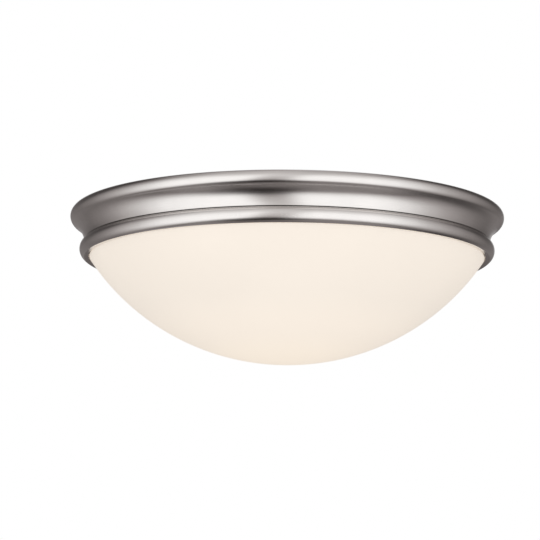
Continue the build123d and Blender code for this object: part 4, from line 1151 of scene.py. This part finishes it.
class CEILINGLIGHT_OT_rivets(bpy.types.Operator):
    """Rivets of the lampholder brackets and the spot welds of the glass clips"""
    bl_idname = "ceiling_light.rivets"
    bl_label = "Rivets and Welds"

    def execute(self, context):
        low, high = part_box("bracket_rivets")
        shank, head, rise = 0.0016, 0.003, 0.0009
        outline = [(0, 0)] + [
            (head * math.sin(turn), rise * (1 - math.cos(turn)))
            for turn in (math.pi / 2 * step / 10 for step in range(1, 11))
        ]
        grip = (high.z - low.z) - 2 * rise
        outline += [(shank, rise), (shank, rise + grip), (head - 0.0003, rise + grip)]
        outline += [(head, rise + grip + 0.0003), (head - 0.0002, rise * 2 + grip - 0.0002)]
        outline += [(head - 0.0006, 2 * rise + grip), (0, 2 * rise + grip)]
        x, inner, outer = high.x - head, high.y - head - 0.016, high.y - head
        places = [((side * -x, side * y, low.z), (0, 0, 0)) for side in (1, -1) for y in (inner, outer)]
        rivets = repeated(outline, 40, places, finish_named("zinc_plated_steel"), "bracket_rivets_domed")
        face_out(rivets)
        settle(rivets, PAN_BODY, "zinc_plated_steel", "bracket_rivets")
        self.welds()
        return {"FINISHED"}

    def welds(self):
        """Two shallow dimpled welds under each clip's foot."""
        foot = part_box("glass_clips")[1]
        ring = [(0, 0.00012), (0.0009, 0.00010), (0.0013, -0.00008), (0.0017, -0.00012), (0.0021, 0.00004)]
        ring += [(0.0021, 0.0003), (0, 0.0003)]
        places = []
        for turn in (90, 210, 330):
            for across in (-0.003, 0.003):
                spot = Vector((foot.y - 0.009, across, -0.0016))
                spot.rotate(Matrix.Rotation(math.radians(turn), 3, "Z"))
                places.append((tuple(spot), (0, 0, turn)))
        welds = repeated(ring, 28, places, finish_named("spring_steel"), "clip_spot_welds")
        face_out(welds)
        settle(welds, PAN_BODY, "spring_steel")


class CEILINGLIGHT_OT_screws(bpy.types.Operator):
    """Slotted screws of the pan and the terminal block, each turned as it was left"""
    bl_idname = "ceiling_light.screws"
    bl_label = "Screws"

    def execute(self, context):
        zinc = finish_named("zinc_plated_steel")
        low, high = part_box("pan_screws")
        spread = high.x - 0.0041
        outline = self.outline(0.0041, 0.0026, 0.00205, high.z - low.z, 0.0007, 0.00079)
        places = [((-spread, 0, low.z), (0, 0, 25)), ((spread, 0, low.z), (0, 0, 70))]
        slot = (0.0009, 0.012, 0.001, 0.0)
        screws = repeated(outline, 48, places, zinc, "pan_screws_slotted", slot)
        face_out(screws)
        settle(screws, PAN_BODY, "zinc_plated_steel", "pan_screws")
        low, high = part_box("terminal_screws")
        xs = (low.x + 0.0015, high.x - 0.0015)
        ys = (low.y + 0.0015, (low.y + high.y) / 2, high.y - 0.0015)
        outline = self.outline(0.0015, 0.0014, 0.0015, high.z - low.z, 0.0003, 0.0005)
        places = [((x, y, low.z), (0, 0, 25 * (row + 2 * column))) for row, y in enumerate(ys) for column, x in enumerate(xs)]
        grubs = repeated(outline, 32, places, zinc, "terminal_screws_slotted", (0.0006, 0.006, 0.001, 0.0))
        face_out(grubs)
        settle(grubs, PAN_BODY, "zinc_plated_steel", "terminal_screws")
        return {"FINISHED"}

    def outline(self, head, height, shank, long, round_off, pitch):
        """A pan head and its ringed shank, from the head's face up to the tip."""
        points = [(0, 0)] + [
            (head - round_off + round_off * math.sin(turn), round_off * (1 - math.cos(turn)))
            for turn in (math.pi / 2 * step / 6 for step in range(7))
        ]
        points += [(head, height), (shank, height)] if head > shank else [(head, height)]
        core, z = shank * 0.86, height + pitch
        while z + pitch < long - 0.0004:
            points += [(core, z), (shank, z + pitch * 0.45), (shank, z + pitch * 0.55)]
            z += pitch
        return without_doubles(points + [(core, z), (core, long - 0.0003), (core * 0.6, long), (0, long)])


class CEILINGLIGHT_OT_wiring(bpy.types.Operator):
    """Sleeved leads from the terminal block to the two lampholders"""
    bl_idname = "ceiling_light.wiring"
    bl_label = "Wiring"

    def execute(self, context):
        for name, (slot, node, long, route) in LEADS.items():
            self.lead(name, slot, node, long, route)
        paint("earth_lead", "green_sleeve")
        return {"FINISHED"}

    def lead(self, name, slot, node, long, route):
        line = bpy.data.curves.new(name, "CURVE")
        line.dimensions = "3D"
        spline = line.splines.new("NURBS")
        spline.points.add(len(route) - 1)
        for point, place in zip(spline.points, route):
            point.co = (*place, 1)
        spline.order_u = 3
        spline.use_endpoint_u = True
        line.resolution_u = 16
        line.bevel_depth = LEAD_RADIUS
        line.bevel_resolution = 5
        line.use_fill_caps = True
        piece = add_object(name, line)
        settle(piece, PAN_BODY, slot, node)


class CEILINGLIGHT_OT_carried(bpy.types.Operator):
    """Finishes for the parts whose shape is already right"""
    bl_idname = "ceiling_light.carried"
    bl_label = "Other Parts"

    def execute(self, context):
        for slot, nodes in CARRIED.items():
            for node in nodes:
                paint(node, slot)
        return {"FINISHED"}


# ---- Shapes used by the operators -----------------------------------------------------------------

def ellipse(width, height, centre, start, end, steps):
    turns = [start + (end - start) * step / steps for step in range(steps + 1)]
    return [(max(0.0, width * math.cos(turn)), centre + height * math.sin(turn)) for turn in turns]


def smooth_line(points, first, last, steps):
    """A smooth line through points, leaving and arriving along two directions."""
    slopes = [Vector(first).normalized() * (Vector(points[1]) - Vector(points[0])).length]
    for before, after in zip(points, points[2:]):
        slopes.append((Vector(after) - Vector(before)) / 2)
    slopes.append(Vector(last).normalized() * (Vector(points[-1]) - Vector(points[-2])).length)
    line = [tuple(points[0])]
    for index in range(len(points) - 1):
        a, b = Vector(points[index]), Vector(points[index + 1])
        for step in range(1, steps + 1):
            t = step / steps
            line.append(tuple(
                a * (2 * t**3 - 3 * t**2 + 1) + slopes[index] * (t**3 - 2 * t**2 + t)
                + b * (3 * t**2 - 2 * t**3) + slopes[index + 1] * (t**3 - t**2)
            ))
    return line


def ripple(x, y):
    """Uneven loft of the wool, from 0 to 1."""
    waves = ((61, 23, 0.3), (-37, 71, 1.7), (113, -59, 2.9), (-151, -97, 0.8), (211, 173, 4.1))
    total = sum(math.sin(a * x + b * y + phase) for a, b, phase in waves)
    return 0.5 + total / (2 * len(waves))


def face_out(piece):
    """Turns a closed skin's faces outwards."""
    skin = bmesh.new()
    skin.from_mesh(piece.data)
    bmesh.ops.remove_doubles(skin, verts=skin.verts, dist=1e-6)
    bmesh.ops.recalc_face_normals(skin, faces=skin.faces)
    skin.to_mesh(piece.data)
    skin.free()


LEAD_RADIUS = 0.0012
# each lead's slot, CAD node, length and route
LEADS = {
    "neutral_lead_1": ("white_sleeve", "neutral_leads", 0.2147, [
        (-0.091, 0.0425, -0.054), (-0.1082, 0.0425, -0.054), (-0.1112, 0.0525, -0.042),
        (-0.1012, 0.0595, -0.028), (-0.066, 0.0635, -0.0216), (-0.031, 0.0625, -0.0186),
        (0.031, 0.0625, -0.0186), (0.039, 0.05675, -0.0211), (0.047, 0.045, -0.024), (0.0575, 0.045, -0.024),
    ]),
    "neutral_lead_2": ("white_sleeve", "neutral_leads", 0.1345, [
        (0.091, -0.0295, -0.054), (0.1142, -0.0295, -0.054), (0.1192, -0.0165, -0.045),
        (0.1152, -0.008, -0.031), (0.1022, 0.0195, -0.024), (0.08, 0.045, -0.024), (0.0625, 0.045, -0.024),
    ]),
    "live_lead_1": ("black_sleeve", "live_leads", 0.2313, [
        (-0.091, 0.0295, -0.054), (-0.1082, 0.0295, -0.054), (-0.1112, 0.0395, -0.042),
        (-0.1012, 0.0545, -0.028), (-0.066, 0.0585, -0.0216), (-0.031, 0.0575, -0.0186),
        (0.031, 0.0575, -0.0186), (0.039, 0.04325, -0.0211), (0.047, 0.023, -0.024), (0.0575, 0.023, -0.024),
    ]),
    "live_lead_2": ("black_sleeve", "live_leads", 0.1105, [
        (0.091, -0.0425, -0.054), (0.1042, -0.0425, -0.054), (0.1092, -0.0295, -0.045),
        (0.1052, -0.008, -0.031), (0.0922, 0.0085, -0.024), (0.078, 0.023, -0.024), (0.0625, 0.023, -0.024),
    ]),
}

CARRIED = {
    "zinc_plated_steel": [
        "mounting_strap", "terminal_block_screws", "lampholder_1_bracket", "lampholder_2_bracket",
        "lampholder_1_screws", "lampholder_2_screws",
    ],
    "spring_steel": ["glass_clips"],
    "black_plastic": ["entry_grommet"],
    "white_nylon": ["terminal_block", "lead_clips"],
    "brass": [
        "terminal_barrels", "lampholder_1_screw_shell", "lampholder_2_screw_shell", "lampholder_1_contact",
        "lampholder_2_contact",
    ],
    "green_screw": ["earth_screw"],
    "tinned_copper": ["earth_ring_terminal"],
    "porcelain": ["lampholder_1_body", "lampholder_2_body"],
    "solder": ["bulb_1_contact", "bulb_2_contact"],
    "black_glass": ["bulb_1_insulator", "bulb_2_insulator"],
    "nickel_plated_cap": ["bulb_1_screw_base", "bulb_2_screw_base"],
    "white_housing": ["bulb_1_housing", "bulb_2_housing"],
    "circuit_board": ["bulb_1_led_board", "bulb_2_led_board"],
    "frosted_plastic": ["bulb_1_diffuser", "bulb_2_diffuser"],
}

MAKERS = [
    CEILINGLIGHT_OT_studio, CEILINGLIGHT_OT_wiring, CEILINGLIGHT_OT_pan, CEILINGLIGHT_OT_glass,
    CEILINGLIGHT_OT_insulation, CEILINGLIGHT_OT_rivets, CEILINGLIGHT_OT_screws, CEILINGLIGHT_OT_carried,
]


class CEILINGLIGHT_PT_panel(bpy.types.Panel):
    """Lists the pieces of the ceiling light and their settings"""
    bl_idname = "CEILINGLIGHT_PT_panel"
    bl_label = "Ceiling Light"
    bl_space_type = "VIEW_3D"
    bl_region_type = "UI"
    bl_category = "Ceiling Light"

    def draw(self, context):
        for maker in MAKERS:
            self.layout.operator(maker.bl_idname)
        for name, group in GROUPS.items():
            box = self.layout.box()
            box.label(text=group.__doc__)
            for label in group.__annotations__:
                box.prop(getattr(context.scene, name), label)


def register():
    for group in GROUPS.values():
        bpy.utils.register_class(group)
    for name, group in GROUPS.items():
        setattr(bpy.types.Scene, name, bpy.props.PointerProperty(type=group))
    for maker in [*MAKERS, CEILINGLIGHT_PT_panel]:
        bpy.utils.register_class(maker)


def unregister():
    for maker in [CEILINGLIGHT_PT_panel, *reversed(MAKERS)]:
        bpy.utils.unregister_class(maker)
    for name in GROUPS:
        delattr(bpy.types.Scene, name)
    for group in reversed(GROUPS.values()):
        bpy.utils.unregister_class(group)


def main():
    register()
    for maker in MAKERS:
        family, name = maker.bl_idname.split(".")
        getattr(getattr(bpy.ops, family), name)()


if __name__ == "__main__":
    main()
